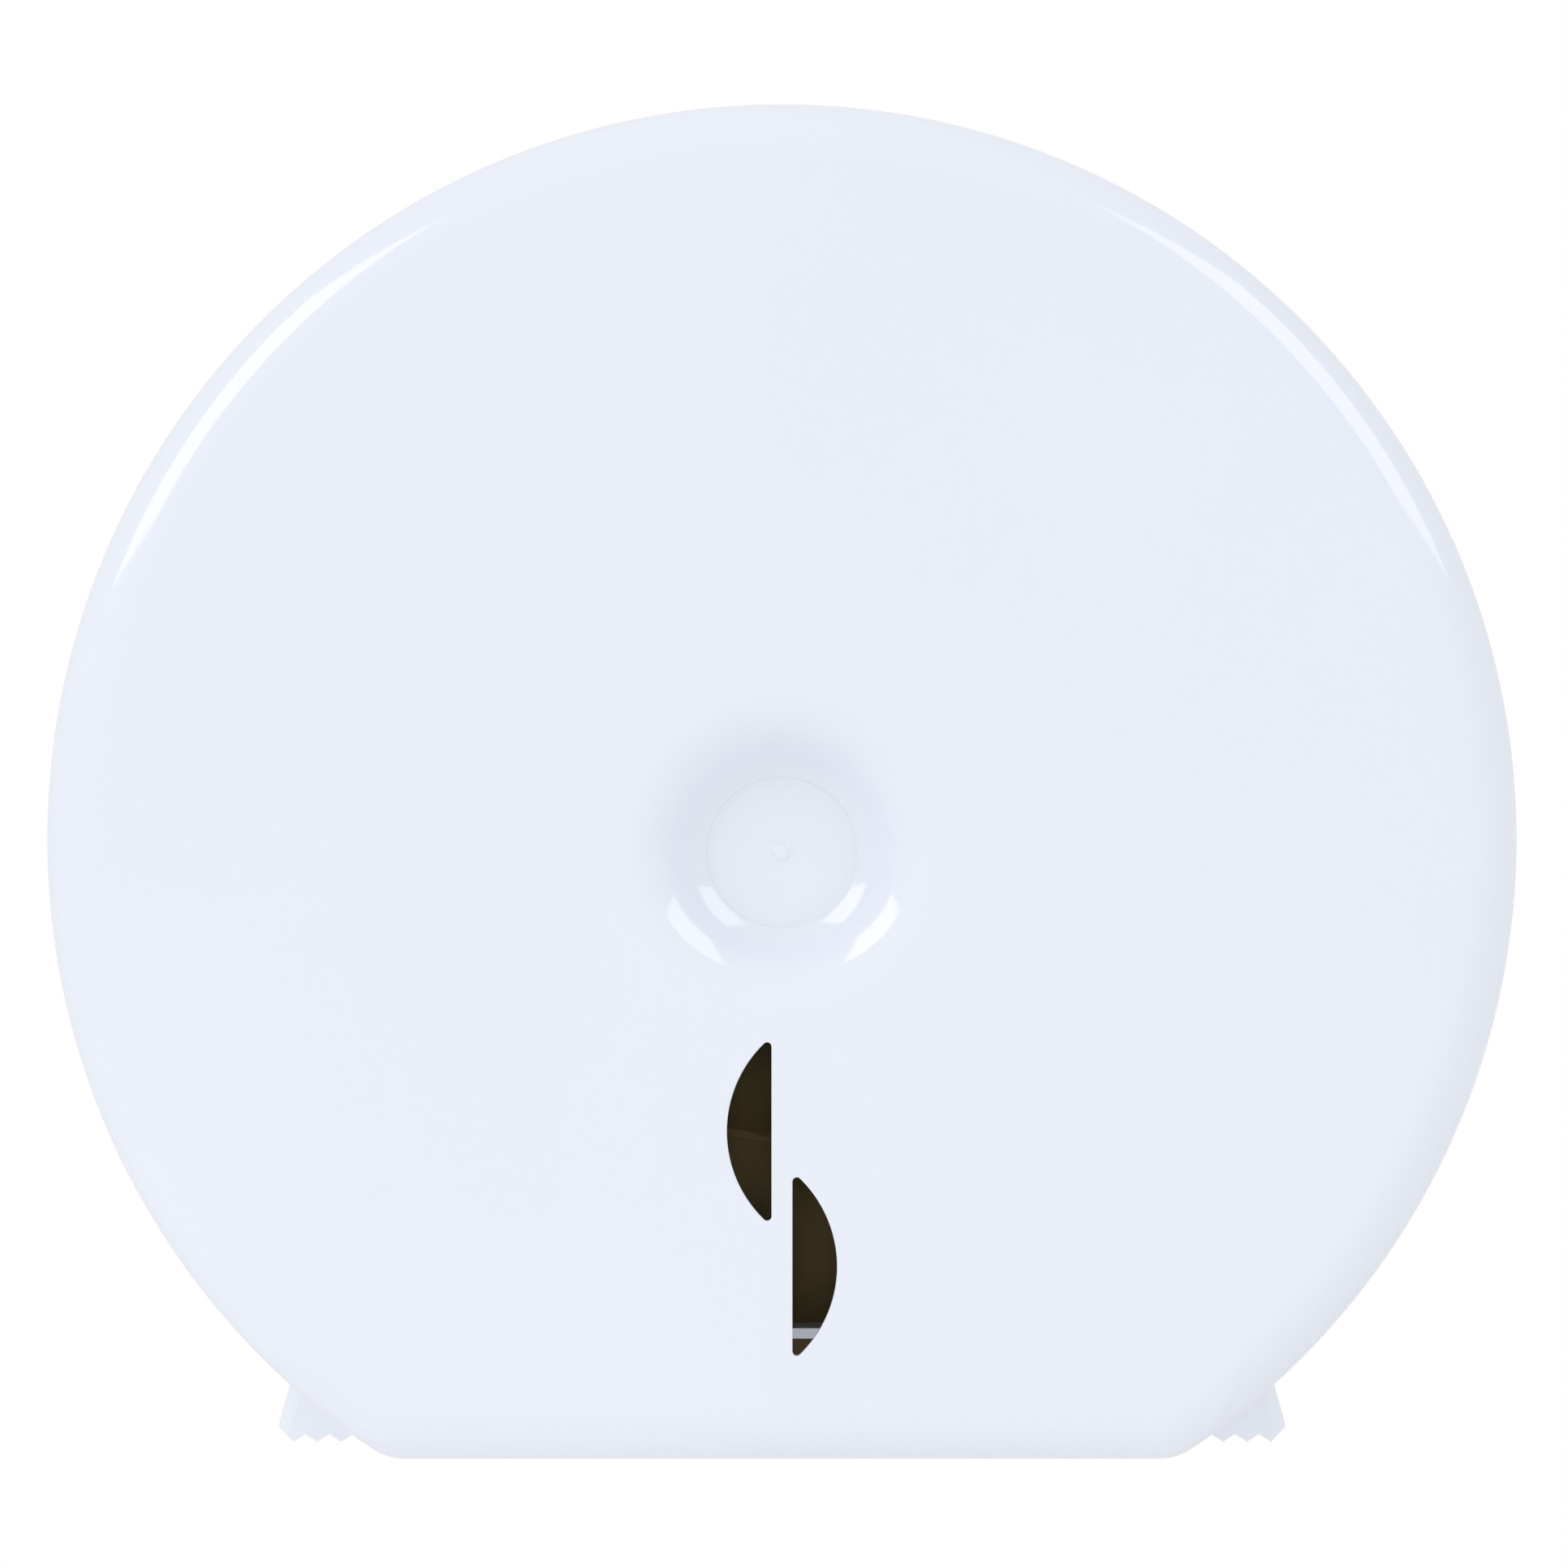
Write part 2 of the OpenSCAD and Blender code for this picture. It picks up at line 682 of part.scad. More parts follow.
module at_frame_screws() {
    both_sides() {
        translate([knuckle_x1 + frame_screw_in, frame_foot + frame_screw_low, 0]) children();
        translate([knuckle_x1 + frame_screw_in + frame_screw_apart,
            frame_foot + frame_screw_high, 0]) children();
    }
}

module end_block() {
    difference() {
        union() {
            linear_extrude(rim_h) block_core(0);
            difference() {
                linear_extrude(rim_h) ear_shape(0, teeth_y);
                ear_corner_cut(0);
            }
        }
        difference() {
            translate([0, 0, -cut]) linear_extrude(rim_h - frame_wall + cut)
                block_core(frame_wall);
            translate([ear_root_x, frame_foot - cut, -2 * cut])
                cube([frame_wall, block_h, rim_h]);
        }
        difference() {
            translate([0, 0, -cut]) linear_extrude(rim_h - frame_wall + cut)
                ear_shape(frame_wall, teeth_y - cut);
            ear_corner_cut(frame_wall);
        }
        tooth_cuts();
    }
    lug();
}

module outlet_frame() {
    color([0.93, 0.94, 0.97]) on_wall() difference() {
        union() {
            both_sides() end_block();
            translate([-lug_x0 - frame_wall, bridge_y - bridge_t, plate_t])
                cube([2 * (lug_x0 + frame_wall), bridge_t, rim_h - plate_t]);
            at_frame_screws() translate([0, 0, plate_t])
                cylinder(h = rim_h - plate_t, r = screw_head_d / 2 + 1.4);
        }
        translate([0, 0, -cut]) linear_extrude(plate_t + cut)
            housing_outline(plate_inset - frame_gap);
        both_sides() translate([lug_x0 - cut, hinge_y, hinge_z]) rotate([0, 90, 0])
            cylinder(h = lug_t + 2 * cut, r = pin_r + pin_press);
        at_frame_screws() cylinder(h = rim_h + cut, r = screw_r + screw_clearance);
        at_frame_screws() translate([0, 0, rim_h - screw_head_h - 0.3])
            cylinder(h = screw_head_h + cut, r = screw_head_d / 2 + 0.2);
    }
}

// ---- Screws and pins -------------------------------------------------------------------------

// A pan-head screw with a cross recess, its head's underside at z = 0 and its shank below
module pan_screw(shank_r, shank_len, head_r, head_h) {
    difference() {
        union() {
            translate([0, 0, -shank_len]) cylinder(h = shank_len + eps, r = shank_r);
            rotate_extrude() {
                square([head_r, head_h / 2]);
                translate([0, head_h / 2]) square([head_r - head_h / 2, head_h / 2]);
                translate([head_r - head_h / 2, head_h / 2]) pie(head_h / 2, 0, 90);
            }
        }
        for (a = [0, 90])
            rotate([0, 0, a]) translate([-head_r * 0.6, -head_r * 0.12, head_h * 0.4])
                cube([head_r * 1.2, head_r * 0.24, head_h]);
    }
}

module outlet_screws() {
    color([0.72, 0.73, 0.75]) on_wall() at_frame_screws()
        translate([0, 0, rim_h - screw_head_h - 0.3])
            pan_screw(screw_r, rim_h - screw_head_h - 0.3 - plate_t + frame_screw_bite,
                screw_head_d / 2, screw_head_h);
}

module axle_screws() {
    color([0.72, 0.73, 0.75]) on_wall() on_spindle() at_axle_screws()
        translate([0, 0, boss_h + axle_flange_t])
            pan_screw(screw_r, axle_screw_len, screw_head_d / 2, screw_head_h);
}

// A pin pushed in from the mouth's side, with a low domed head
module hinge_pin() {
    length = knuckle_x1 - lug_x0 - 0.3;
    translate([lug_x0, hinge_y, hinge_z]) rotate([0, 90, 0]) {
        cylinder(h = length, r = pin_r);
        rotate_extrude() {
            translate([0, -pin_head_t / 2]) square([pin_head_r, pin_head_t / 2]);
            translate([0, -pin_head_t]) square([pin_head_r - pin_head_t / 2, pin_head_t / 2]);
            translate([pin_head_r - pin_head_t / 2, -pin_head_t / 2])
                pie(pin_head_t / 2, -90, 0);
        }
    }
}

module hinge_pin_right() {
    color([0.75, 0.76, 0.78]) on_wall() hinge_pin();
}

module hinge_pin_left() {
    color([0.75, 0.76, 0.78]) on_wall() mirror([1, 0, 0]) hinge_pin();
}

// ---- Spindle ---------------------------------------------------------------------------------

module axle() {
    color([0.55, 0.56, 0.58]) on_wall() on_spindle() difference() {
        rotate_extrude() polygon([
            [0, boss_h],
            [axle_flange_r, boss_h],
            [axle_flange_r, boss_h + axle_flange_t - 1],
            [axle_flange_r - 1, boss_h + axle_flange_t],
            [axle_r, boss_h + axle_flange_t],
            [axle_r, axle_front - 1],
            [axle_r - 1, axle_front],
            [0, axle_front]
        ]);
        at_axle_screws() translate([0, 0, boss_h - cut])
            cylinder(h = axle_flange_t + 2 * cut, r = screw_r + screw_clearance);
        translate([0, 0, axle_front - end_screw_len - 1])
            cylinder(h = end_screw_len + 1 + cut, r = end_screw_r + screw_clearance);
    }
}

// A dished steel ring between the axle's flange and the sleeve: it keeps the roll from overrunning
module drag_spring() {
    inner_r = axle_r + 0.6;
    low = boss_h + axle_flange_t + 0.05;
    high = sleeve_back - 0.1;
    color([0.70, 0.71, 0.73]) on_wall() on_spindle() rotate_extrude() polygon([
        [inner_r, low],
        [spring_r, high - spring_t],
        [spring_r, high],
        [inner_r, low + spring_t]
    ]);
}

module core_sleeve() {
    bore_r = axle_r + axle_clearance;
    drum_in = sleeve_r - sleeve_wall;
    web_end = sleeve_front - cap_skirt - 1;
    color([0.80, 0.81, 0.83]) on_wall() on_spindle() {
        rotate_extrude() polygon([
            [bore_r, sleeve_back],
            [flange_r - 1, sleeve_back],
            [flange_r, sleeve_back + 1],
            [flange_r, sleeve_back + flange_t],
            [sleeve_r, sleeve_back + flange_t],
            [sleeve_r, sleeve_front - 1.2],
            [sleeve_r - 0.8, sleeve_front],
            [drum_in, sleeve_front],
            [drum_in, sleeve_back + flange_t],
            [bore_r + tube_wall, sleeve_back + flange_t],
            [bore_r + tube_wall, sleeve_front],
            [bore_r, sleeve_front]
        ]);
        for (i = [0 : web_count - 1])
            rotate([0, 0, i * 360 / web_count])
                translate([bore_r + tube_wall - 0.3, -web_t / 2, sleeve_back + flange_t - eps])
                    cube([drum_in - bore_r - tube_wall + 0.6, web_t,
                        web_end - sleeve_back - flange_t]);
    }
}

module axle_washer() {
    color([0.72, 0.73, 0.75]) on_wall() on_spindle() difference() {
        translate([0, 0, axle_front]) cylinder(h = washer_t, r = washer_r);
        translate([0, 0, axle_front - cut])
            cylinder(h = washer_t + 2 * cut, r = end_screw_r + 0.2);
    }
}

module axle_end_screw() {
    color([0.72, 0.73, 0.75]) on_wall() on_spindle() translate([0, 0, axle_front + washer_t])
        pan_screw(end_screw_r, end_screw_len, end_screw_head_r, end_screw_head_h);
}

// A hollow cap with a rounded edge, clipped into the sleeve's open end
module sleeve_cap() {
    round_r = 4;
    skirt_r = sleeve_r - sleeve_wall - cap_gap;
    base_z = sleeve_front + 0.05;
    top_z = base_z + cap_h;
    color([0.80, 0.81, 0.83]) on_wall() on_spindle() rotate_extrude() {
        difference() {
            union() {
                translate([0, base_z]) square([sleeve_r, cap_h - round_r]);
                translate([0, top_z - round_r - eps]) square([sleeve_r - round_r, round_r + eps]);
                translate([sleeve_r - round_r, top_z - round_r]) pie(round_r, 0, 90);
            }
            translate([0, base_z - cut]) square([skirt_r - cap_wall, cap_h - cap_wall + cut]);
        }
        translate([skirt_r - cap_wall, sleeve_front - cap_skirt])
            square([cap_wall, cap_skirt + 0.5]);
    }
}

// ---- Lock ------------------------------------------------------------------------------------

// The lock barrel's outline: a round with a flat on each side, which keeps it from turning
module lock_section(r) {
    flat = r * 0.87;
    intersection() {
        circle(r);
        square([2 * flat, 2 * r + 2], center = true);
    }
}

module lock_body() {
    color([0.75, 0.76, 0.78]) on_wall() on_lock() difference() {
        union() {
            translate([0, 0, -lock_len]) linear_extrude(lock_len + eps) lock_section(lock_r);
            cylinder(h = lock_flange_t / 2, r = lock_flange_r);
            translate([0, 0, lock_flange_t / 2])
                cylinder(h = lock_flange_t / 2, r1 = lock_flange_r, r2 = lock_flange_r - 0.8);
        }
        translate([0, 0, -lock_len - cut])
            cylinder(h = lock_len + lock_flange_t + 2 * cut, r = key_r + key_clearance);
        translate([0, 0, lock_flange_t - 1.2])
            cylinder(h = 1.2 + cut, r = key_r + 1 + key_clearance);
    }
}

module lock_nut() {
    color([0.72, 0.73, 0.75]) on_wall() on_lock() difference() {
        translate([0, 0, -pad_t - nut_t - 0.02])
            cylinder(h = nut_t, r = nut_af / sqrt(3), $fn = 6);
        translate([0, 0, -pad_t - nut_t - cut]) cylinder(h = nut_t + 2 * cut, r = lock_r + 0.05);
    }
}

module key_barrel() {
    head_z = lock_flange_t - 1.15;
    color([0.80, 0.81, 0.83]) on_wall() on_lock() difference() {
        union() {
            translate([0, 0, cam_top]) cylinder(h = head_z - cam_top + 0.5, r = key_r);
            translate([0, 0, head_z]) cylinder(h = 1.4, r = key_r + 1);
            translate([-key_square / 2, -key_square / 2, cam_top - cam_t])
                cube([key_square, key_square, cam_t + 0.5]);
        }
        translate([-key_slot_w / 2, -key_slot_len / 2, head_z - 5])
            cube([key_slot_w, key_slot_len, 8]);
        translate([0, 0, cam_top - cam_t - cut]) cylinder(h = 7, r = 1.5 + screw_clearance);
    }
}

// A flat cam on the barrel's square: it points to the wall when open and to the right when shut
module lock_cam() {
    color([0.70, 0.71, 0.73]) on_wall() on_lock() translate([0, 0, cam_top - cam_t])
        linear_extrude(cam_t) difference() {
            union() {
                circle(cam_hub_r);
                translate([-cam_w / 2, 0]) square([cam_w, cam_reach - cam_w / 2]);
                translate([0, cam_reach - cam_w / 2]) pie(cam_w / 2, 0, 90);
                translate([0, cam_reach - cam_w / 2]) pie(cam_w / 2, 90, 180);
            }
            square(key_square + 0.1, center = true);
        }
}

module cam_screw() {
    color([0.72, 0.73, 0.75]) on_wall() on_lock() translate([0, 0, cam_top - cam_t - 0.02])
        rotate([180, 0, 0]) pan_screw(1.5, 5, 4, screw_head_h);
}

// ---- Catch -----------------------------------------------------------------------------------

module at_catch_screws() {
    for (rise = [catch_screw_in, catch_screw_in + catch_screw_apart])
        translate([catch_x + catch_w / 2, catch_y - catch_foot_h + rise, 0]) children();
}

// Bent steel: a foot on the plate, an arm that runs forward and a lip for the cam to turn behind
module catch_bracket() {
    color([0.70, 0.71, 0.73]) on_wall() difference() {
        translate([catch_x, 0, 0]) rotate([90, 0, 90]) linear_extrude(catch_w) polygon([
            [catch_y - catch_foot_h, plate_t],
            [catch_y, plate_t],
            [catch_y, catch_lip_z],
            [catch_lip_y, catch_lip_z],
            [catch_lip_y, catch_lip_z + catch_t],
            [catch_y - catch_t, catch_lip_z + catch_t],
            [catch_y - catch_t, plate_t + catch_t],
            [catch_y - catch_foot_h, plate_t + catch_t]
        ]);
        at_catch_screws() cylinder(h = plate_t + catch_t + cut, r = screw_r + screw_clearance);
    }
}

module catch_screws() {
    color([0.72, 0.73, 0.75]) on_wall() at_catch_screws() translate([0, 0, plate_t + catch_t])
        pan_screw(screw_r, catch_t + frame_screw_bite, screw_head_d / 2, screw_head_h);
}

// ---- What is drawn ---------------------------------------------------------------------------

back_plate();
outlet_frame();
outlet_screws();
axle();
axle_screws();
drag_spring();
core_sleeve();
axle_washer();
axle_end_screw();
sleeve_cap();
catch_bracket();
catch_screws();
hinge_pin_left();
hinge_pin_right();
cover();
lock_body();
lock_nut();
key_barrel();
lock_cam();
cam_screw();
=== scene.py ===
# %% [markdown]
# # A drum dispenser for a jumbo paper roll
# The object hangs on a wall: a dark base, a white drum-shaped cover hinged at its foot, a spindle
# with a free-turning sleeve inside, white tear corners and a small cam lock on top. The frame
# brings in the exact solids and their bodies. Here the visible skin is made finer, each piece is
# given the finish of its plastic or steel, and then come the light and the camera.

# %% Frame
import json
import math

import bmesh
import bpy
from mathutils import Matrix, Vector


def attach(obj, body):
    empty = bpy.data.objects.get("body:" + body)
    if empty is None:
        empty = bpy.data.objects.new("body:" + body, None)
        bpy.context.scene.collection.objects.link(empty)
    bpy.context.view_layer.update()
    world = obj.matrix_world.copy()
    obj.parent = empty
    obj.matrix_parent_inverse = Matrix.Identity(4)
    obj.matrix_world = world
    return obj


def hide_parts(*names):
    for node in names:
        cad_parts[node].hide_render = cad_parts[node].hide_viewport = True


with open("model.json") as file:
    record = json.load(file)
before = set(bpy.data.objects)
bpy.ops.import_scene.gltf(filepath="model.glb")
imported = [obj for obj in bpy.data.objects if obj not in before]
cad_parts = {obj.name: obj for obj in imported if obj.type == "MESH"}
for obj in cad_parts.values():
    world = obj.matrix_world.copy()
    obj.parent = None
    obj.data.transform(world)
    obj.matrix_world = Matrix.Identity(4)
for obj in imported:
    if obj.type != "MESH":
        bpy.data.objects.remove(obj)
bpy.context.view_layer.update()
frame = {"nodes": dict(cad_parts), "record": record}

# %% [markdown]
# ## The camera
# A long lens far away keeps the drum's side walls hidden behind its face, as a catalogue view
# does. The lens follows from the width of what is framed at the cover's widest section.

# %% Camera
MM = 0.001
SENSOR = 36.0                  # mm
WIDEST_AT = 115.0 * MM         # from the wall to the cover's widest section in view
CAMERA_AWAY = 1.5              # metres from that section to the camera
FRAMED = 0.28648               # metres that the picture takes in across that section
AIM_X, AIM_Z = 0.00037, 0.01004   # metres right of and above the housing's centre

lens = bpy.data.cameras.new("catalogue_lens")
lens.sensor_width = SENSOR
lens.lens = SENSOR * CAMERA_AWAY / FRAMED
camera = bpy.data.objects.new("catalogue_camera", lens)
camera.location = (AIM_X, -(WIDEST_AT + CAMERA_AWAY), AIM_Z)
camera.rotation_euler = (math.radians(90), 0, 0)
bpy.context.scene.collection.objects.link(camera)
bpy.context.scene.camera = camera
print("lens", round(lens.lens, 1), "mm")

# %% [markdown]
# ## Working on the wall
# The solids were drawn on the wall: x to the right, y up, z out of the wall, in millimetres. The
# pieces are modelled in the same drawing, so that a number means the same in both, and one matrix
# stands them up at the end. The mesh then holds its own place and its object stays at the origin.

# %% Finishing a piece
ON_WALL = Matrix.Rotation(math.radians(90), 4, "X") @ Matrix.Scale(MM, 4)
SAME = 0.001                   # mm; vertices closer than this are one vertex


def smooth(mesh, crease):
    """Smooth shading that still breaks where two faces meet at more than the crease angle."""
    mesh.shade_smooth()
    mesh.set_sharp_from_angle(angle=math.radians(crease))


def place(bm, name, body, material, nodes, crease=35):
    """Turns a bmesh drawn on the wall into a piece that rides on its body for these solids."""
    bmesh.ops.remove_doubles(bm, verts=bm.verts, dist=SAME)
    bmesh.ops.recalc_face_normals(bm, faces=bm.faces)
    bmesh.ops.transform(bm, matrix=ON_WALL, verts=bm.verts)
    mesh = bpy.data.meshes.new(name)
    bm.to_mesh(mesh)
    bm.free()
    smooth(mesh, crease)
    mesh.materials.append(material)
    piece = bpy.data.objects.new(name, mesh)
    bpy.context.scene.collection.objects.link(piece)
    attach(piece, body)
    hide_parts(*nodes)
    print(name, "faces", len(mesh.polygons))
    return piece


# %% [markdown]
# ## Finishes
# Moulded plastic is never quite even: the mould's polish leaves a slow waviness that only shows
# in reflections, and a fine grain. Two shader groups hold these effects, and every material uses
# them with its own numbers. A group puts out only colours, values and normals, and the Principled
# shader stays in the material.

# %% Shader group helpers
def new_group(name, inputs, outputs):
    """An empty shader group with named sockets; inputs are (name, kind, default)."""
    group = bpy.data.node_groups.new(name, "ShaderNodeTree")
    kinds = {"value": "NodeSocketFloat", "colour": "NodeSocketColor", "vector": "NodeSocketVector"}
    for socket_name, kind, default in inputs:
        socket = group.interface.new_socket(socket_name, in_out="INPUT", socket_type=kinds[kind])
        socket.default_value = default
    for socket_name, kind in outputs:
        group.interface.new_socket(socket_name, in_out="OUTPUT", socket_type=kinds[kind])
    return group, group.nodes.new("NodeGroupInput"), group.nodes.new("NodeGroupOutput")


def add(tree, kind, **values):
    """A node whose settings and unlinked sockets are given by name."""
    node = tree.nodes.new(kind)
    for key, value in values.items():
        if hasattr(node, key):
            setattr(node, key, value)
        else:
            node.inputs[key.replace("_", " ")].default_value = value
    return node


# %% Group: the polish and grain of a moulded surface
WAVE_RELIEF, GRAIN_RELIEF, DRAWN_RELIEF = 0.001, 0.0002, 0.0001   # metres at a strength of 1


def moulded_skin():
    group, given, out = new_group(
        "moulded_skin",
        [("Wave Size", "value", 40.0), ("Wave Height", "value", 0.02),
         ("Grain Size", "value", 1500.0), ("Grain Height", "value", 0.01),
         ("Roughness", "value", 0.3), ("Roughness Spread", "value", 0.05)],
        [("Roughness", "value"), ("Normal", "vector")])
    place_on = add(group, "ShaderNodeTexCoord")
    wave = add(group, "ShaderNodeTexNoise", Detail=1.0)
    grain = add(group, "ShaderNodeTexNoise", Detail=3.0)
    link = group.links.new
    for noise, size in ((wave, "Wave Size"), (grain, "Grain Size")):
        link(place_on.outputs["Object"], noise.inputs["Vector"])
        link(given.outputs[size], noise.inputs["Scale"])
    wave_bump = add(group, "ShaderNodeBump", Distance=WAVE_RELIEF)
    grain_bump = add(group, "ShaderNodeBump", Distance=GRAIN_RELIEF)
    link(given.outputs["Wave Height"], wave_bump.inputs["Strength"])
    link(wave.outputs["Fac"], wave_bump.inputs["Height"])
    link(given.outputs["Grain Height"], grain_bump.inputs["Strength"])
    link(grain.outputs["Fac"], grain_bump.inputs["Height"])
    link(wave_bump.outputs["Normal"], grain_bump.inputs["Normal"])
    link(grain_bump.outputs["Normal"], out.inputs["Normal"])
    centred = add(group, "ShaderNodeMath", operation="SUBTRACT")
    centred.inputs[1].default_value = 0.5     # the noise runs from 0 to 1 round this middle
    spread = add(group, "ShaderNodeMath", operation="MULTIPLY_ADD")
    link(grain.outputs["Fac"], centred.inputs[0])
    link(centred.outputs[0], spread.inputs[0])
    link(given.outputs["Roughness Spread"], spread.inputs[1])
    link(given.outputs["Roughness"], spread.inputs[2])
    link(spread.outputs[0], out.inputs["Roughness"])
    return group


# %% Group: a slow drift of colour
def colour_drift():
    group, given, out = new_group(
        "colour_drift",
        [("Colour", "colour", (0.8, 0.8, 0.8, 1)), ("Other", "colour", (0.7, 0.7, 0.7, 1)),
         ("Size", "value", 20.0)],
        [("Colour", "colour")])
    place_on = add(group, "ShaderNodeTexCoord")
    cloud = add(group, "ShaderNodeTexNoise", Detail=2.0)
    mixed = add(group, "ShaderNodeMix", data_type="RGBA")
    link = group.links.new
    link(place_on.outputs["Object"], cloud.inputs["Vector"])
    link(given.outputs["Size"], cloud.inputs["Scale"])
    link(cloud.outputs["Fac"], mixed.inputs["Factor"])
    link(given.outputs["Colour"], mixed.inputs["A"])
    link(given.outputs["Other"], mixed.inputs["B"])
    link(mixed.outputs["Result"], out.inputs["Colour"])
    return group


# %% Group: the drawn grain of rolled or turned steel
def drawn_grain():
    group, given, out = new_group(
        "drawn_grain",
        [("Stretch", "vector", (1.0, 1.0, 30.0)), ("Size", "value", 400.0),
         ("Height", "value", 0.2), ("Roughness", "value", 0.3),
         ("Roughness Spread", "value", 0.2)],
        [("Roughness", "value"), ("Normal", "vector")])
    place_on = add(group, "ShaderNodeTexCoord")
    stretched = add(group, "ShaderNodeMapping")
    lines = add(group, "ShaderNodeTexNoise", Detail=4.0)
    bump = add(group, "ShaderNodeBump", Distance=DRAWN_RELIEF)
    spread = add(group, "ShaderNodeMath", operation="MULTIPLY_ADD")
    link = group.links.new
    link(place_on.outputs["Object"], stretched.inputs["Vector"])
    link(given.outputs["Stretch"], stretched.inputs["Scale"])
    link(stretched.outputs["Vector"], lines.inputs["Vector"])
    link(given.outputs["Size"], lines.inputs["Scale"])
    link(lines.outputs["Fac"], bump.inputs["Height"])
    link(given.outputs["Height"], bump.inputs["Strength"])
    link(bump.outputs["Normal"], out.inputs["Normal"])
    link(lines.outputs["Fac"], spread.inputs[0])
    link(given.outputs["Roughness Spread"], spread.inputs[1])
    link(given.outputs["Roughness"], spread.inputs[2])
    link(spread.outputs[0], out.inputs["Roughness"])
    return group


SKIN, DRIFT, DRAWN = moulded_skin(), colour_drift(), drawn_grain()
print("shader groups", [g.name for g in (SKIN, DRIFT, DRAWN)])


# %% [markdown]
# ## Plastics and steels
# The cover is white ABS with a polished mould face, so it has a clear gloss over a faintly bluish
# white. The base is the same plastic in a brown-black with a dull face. The sleeve is acetal,
# which looks waxy, and the axle is glass-filled nylon, which is rougher. Screws are zinc plated.

# %% Material makers
DRIFT_SIZE, WAVE_SIZE, GRAIN_SIZE = 18.0, 28.0, 2400.0   # patches, waves and grains in a metre
BLOTCH_SIZE, BLOTCH_SHADE = 120.0, 0.9                   # the cloudiness of plated steel


def with_group(tree, group, shader, **values):
    """Places a group in a material and links what it puts out to the shader."""
    node = tree.nodes.new("ShaderNodeGroup")
    node.node_tree = group
    for key, value in values.items():
        node.inputs[key.replace("_", " ")].default_value = value
    for name in ("Roughness", "Normal"):
        if name in node.outputs:
            tree.links.new(node.outputs[name], shader.inputs[name])
    if "Colour" in node.outputs:
        tree.links.new(node.outputs["Colour"], shader.inputs["Base Color"])


def new_material(name, **shader_values):
    """A material whose Principled shader has these values on its own sockets."""
    material = bpy.data.materials.new(name)
    material.use_nodes = True
    tree = material.node_tree
    shader = tree.nodes["Principled BSDF"]
    for key, value in shader_values.items():
        shader.inputs[key.replace("_", " ")].default_value = value
    return material, tree, shader


def plastic(name, colour, other, roughness, spread, wave, grain, **shader_values):
    """A moulded plastic whose colour drifts slowly between two tones."""
    material, tree, shader = new_material(name, **shader_values)
    with_group(tree, DRIFT, shader, Colour=(*colour, 1), Other=(*other, 1), Size=DRIFT_SIZE)
    with_group(tree, SKIN, shader, Wave_Size=WAVE_SIZE, Wave_Height=wave, Grain_Size=GRAIN_SIZE,
               Grain_Height=grain, Roughness=roughness, Roughness_Spread=spread)
    return material


def steel(name, colour, roughness, spread, stretch):
    """A metal with a grain that a stretch draws out into lines."""
    material, tree, shader = new_material(name, Metallic=1.0)
    with_group(tree, DRIFT, shader, Colour=(*colour, 1),
               Other=(*[BLOTCH_SHADE * c for c in colour], 1), Size=BLOTCH_SIZE)
    with_group(tree, DRAWN, shader, Stretch=stretch, Roughness=roughness,
               Roughness_Spread=spread)
    return material


# %% The finishes themselves
EVEN, DRAWN_OUT = (1.0, 1.0, 1.0), (1.0, 1.0, 30.0)
white_gloss = plastic("white_gloss_abs", (0.80, 0.835, 0.915), (0.785, 0.82, 0.905),
                      roughness=0.095, spread=0.03, wave=0.03, grain=0.01, IOR=1.53)
# The frame's white is a little lighter than the cover's white: painted light that makes up for the
# shade the cover casts on the tear corners.
frame_white_lifted = plastic("white_frame_abs", (0.84, 0.87, 0.94), (0.83, 0.86, 0.93),
                      roughness=0.24, spread=0.05, wave=0.05, grain=0.04, IOR=1.53)
base_black = plastic("brown_black_abs", (0.052, 0.038, 0.015), (0.046, 0.034, 0.0135),
                     roughness=0.6, spread=0.12, wave=0.1, grain=0.25,
                     IOR=1.42, Specular_IOR_Level=0.2)
axle_grey = plastic("glass_filled_nylon", (0.26, 0.27, 0.29), (0.22, 0.23, 0.25),
                    roughness=0.52, spread=0.15, wave=0.1, grain=0.35)
sleeve_grey = plastic("pale_grey_acetal", (0.56, 0.57, 0.60), (0.52, 0.53, 0.56),
                      roughness=0.34, spread=0.08, wave=0.08, grain=0.12)
zinc = steel("zinc_plate", (0.66, 0.67, 0.69), roughness=0.24, spread=0.2, stretch=EVEN)
strip = steel("rolled_strip", (0.58, 0.59, 0.61), roughness=0.26, spread=0.24, stretch=DRAWN_OUT)
chrome = steel("satin_chrome", (0.78, 0.79, 0.81), roughness=0.14, spread=0.14, stretch=EVEN)
print("materials", len(bpy.data.materials))

# %% [markdown]
# ## Drawing with arcs
# A moulded outline is straight lines and arcs. Spinning one vertex about a centre leaves a chain
# of edges along the arc, exact at every step, so an outline is a few spins and a last edge that
# closes it. The filled outline is then one face, and every wall, rolled edge and step of the skin
# grows from such a face by insetting it.

# %% Arcs and outlines
Z = Vector((0, 0, 1))


def arc(bm, start, centre, degrees, steps, axis=Z):
    """Spins a vertex about a centre and returns the last vertex of the chain it leaves."""
    turned = bmesh.ops.spin(bm, geom=[start], cent=centre, axis=axis,
                            angle=math.radians(degrees), steps=steps)
    return next(g for g in turned["geom_last"] if isinstance(g, bmesh.types.BMVert))


def ends_of(edges):
    """The vertices of these edges, each once. A dict keeps their order, which a set would not."""
    return list(dict.fromkeys(v for e in edges for v in e.verts))


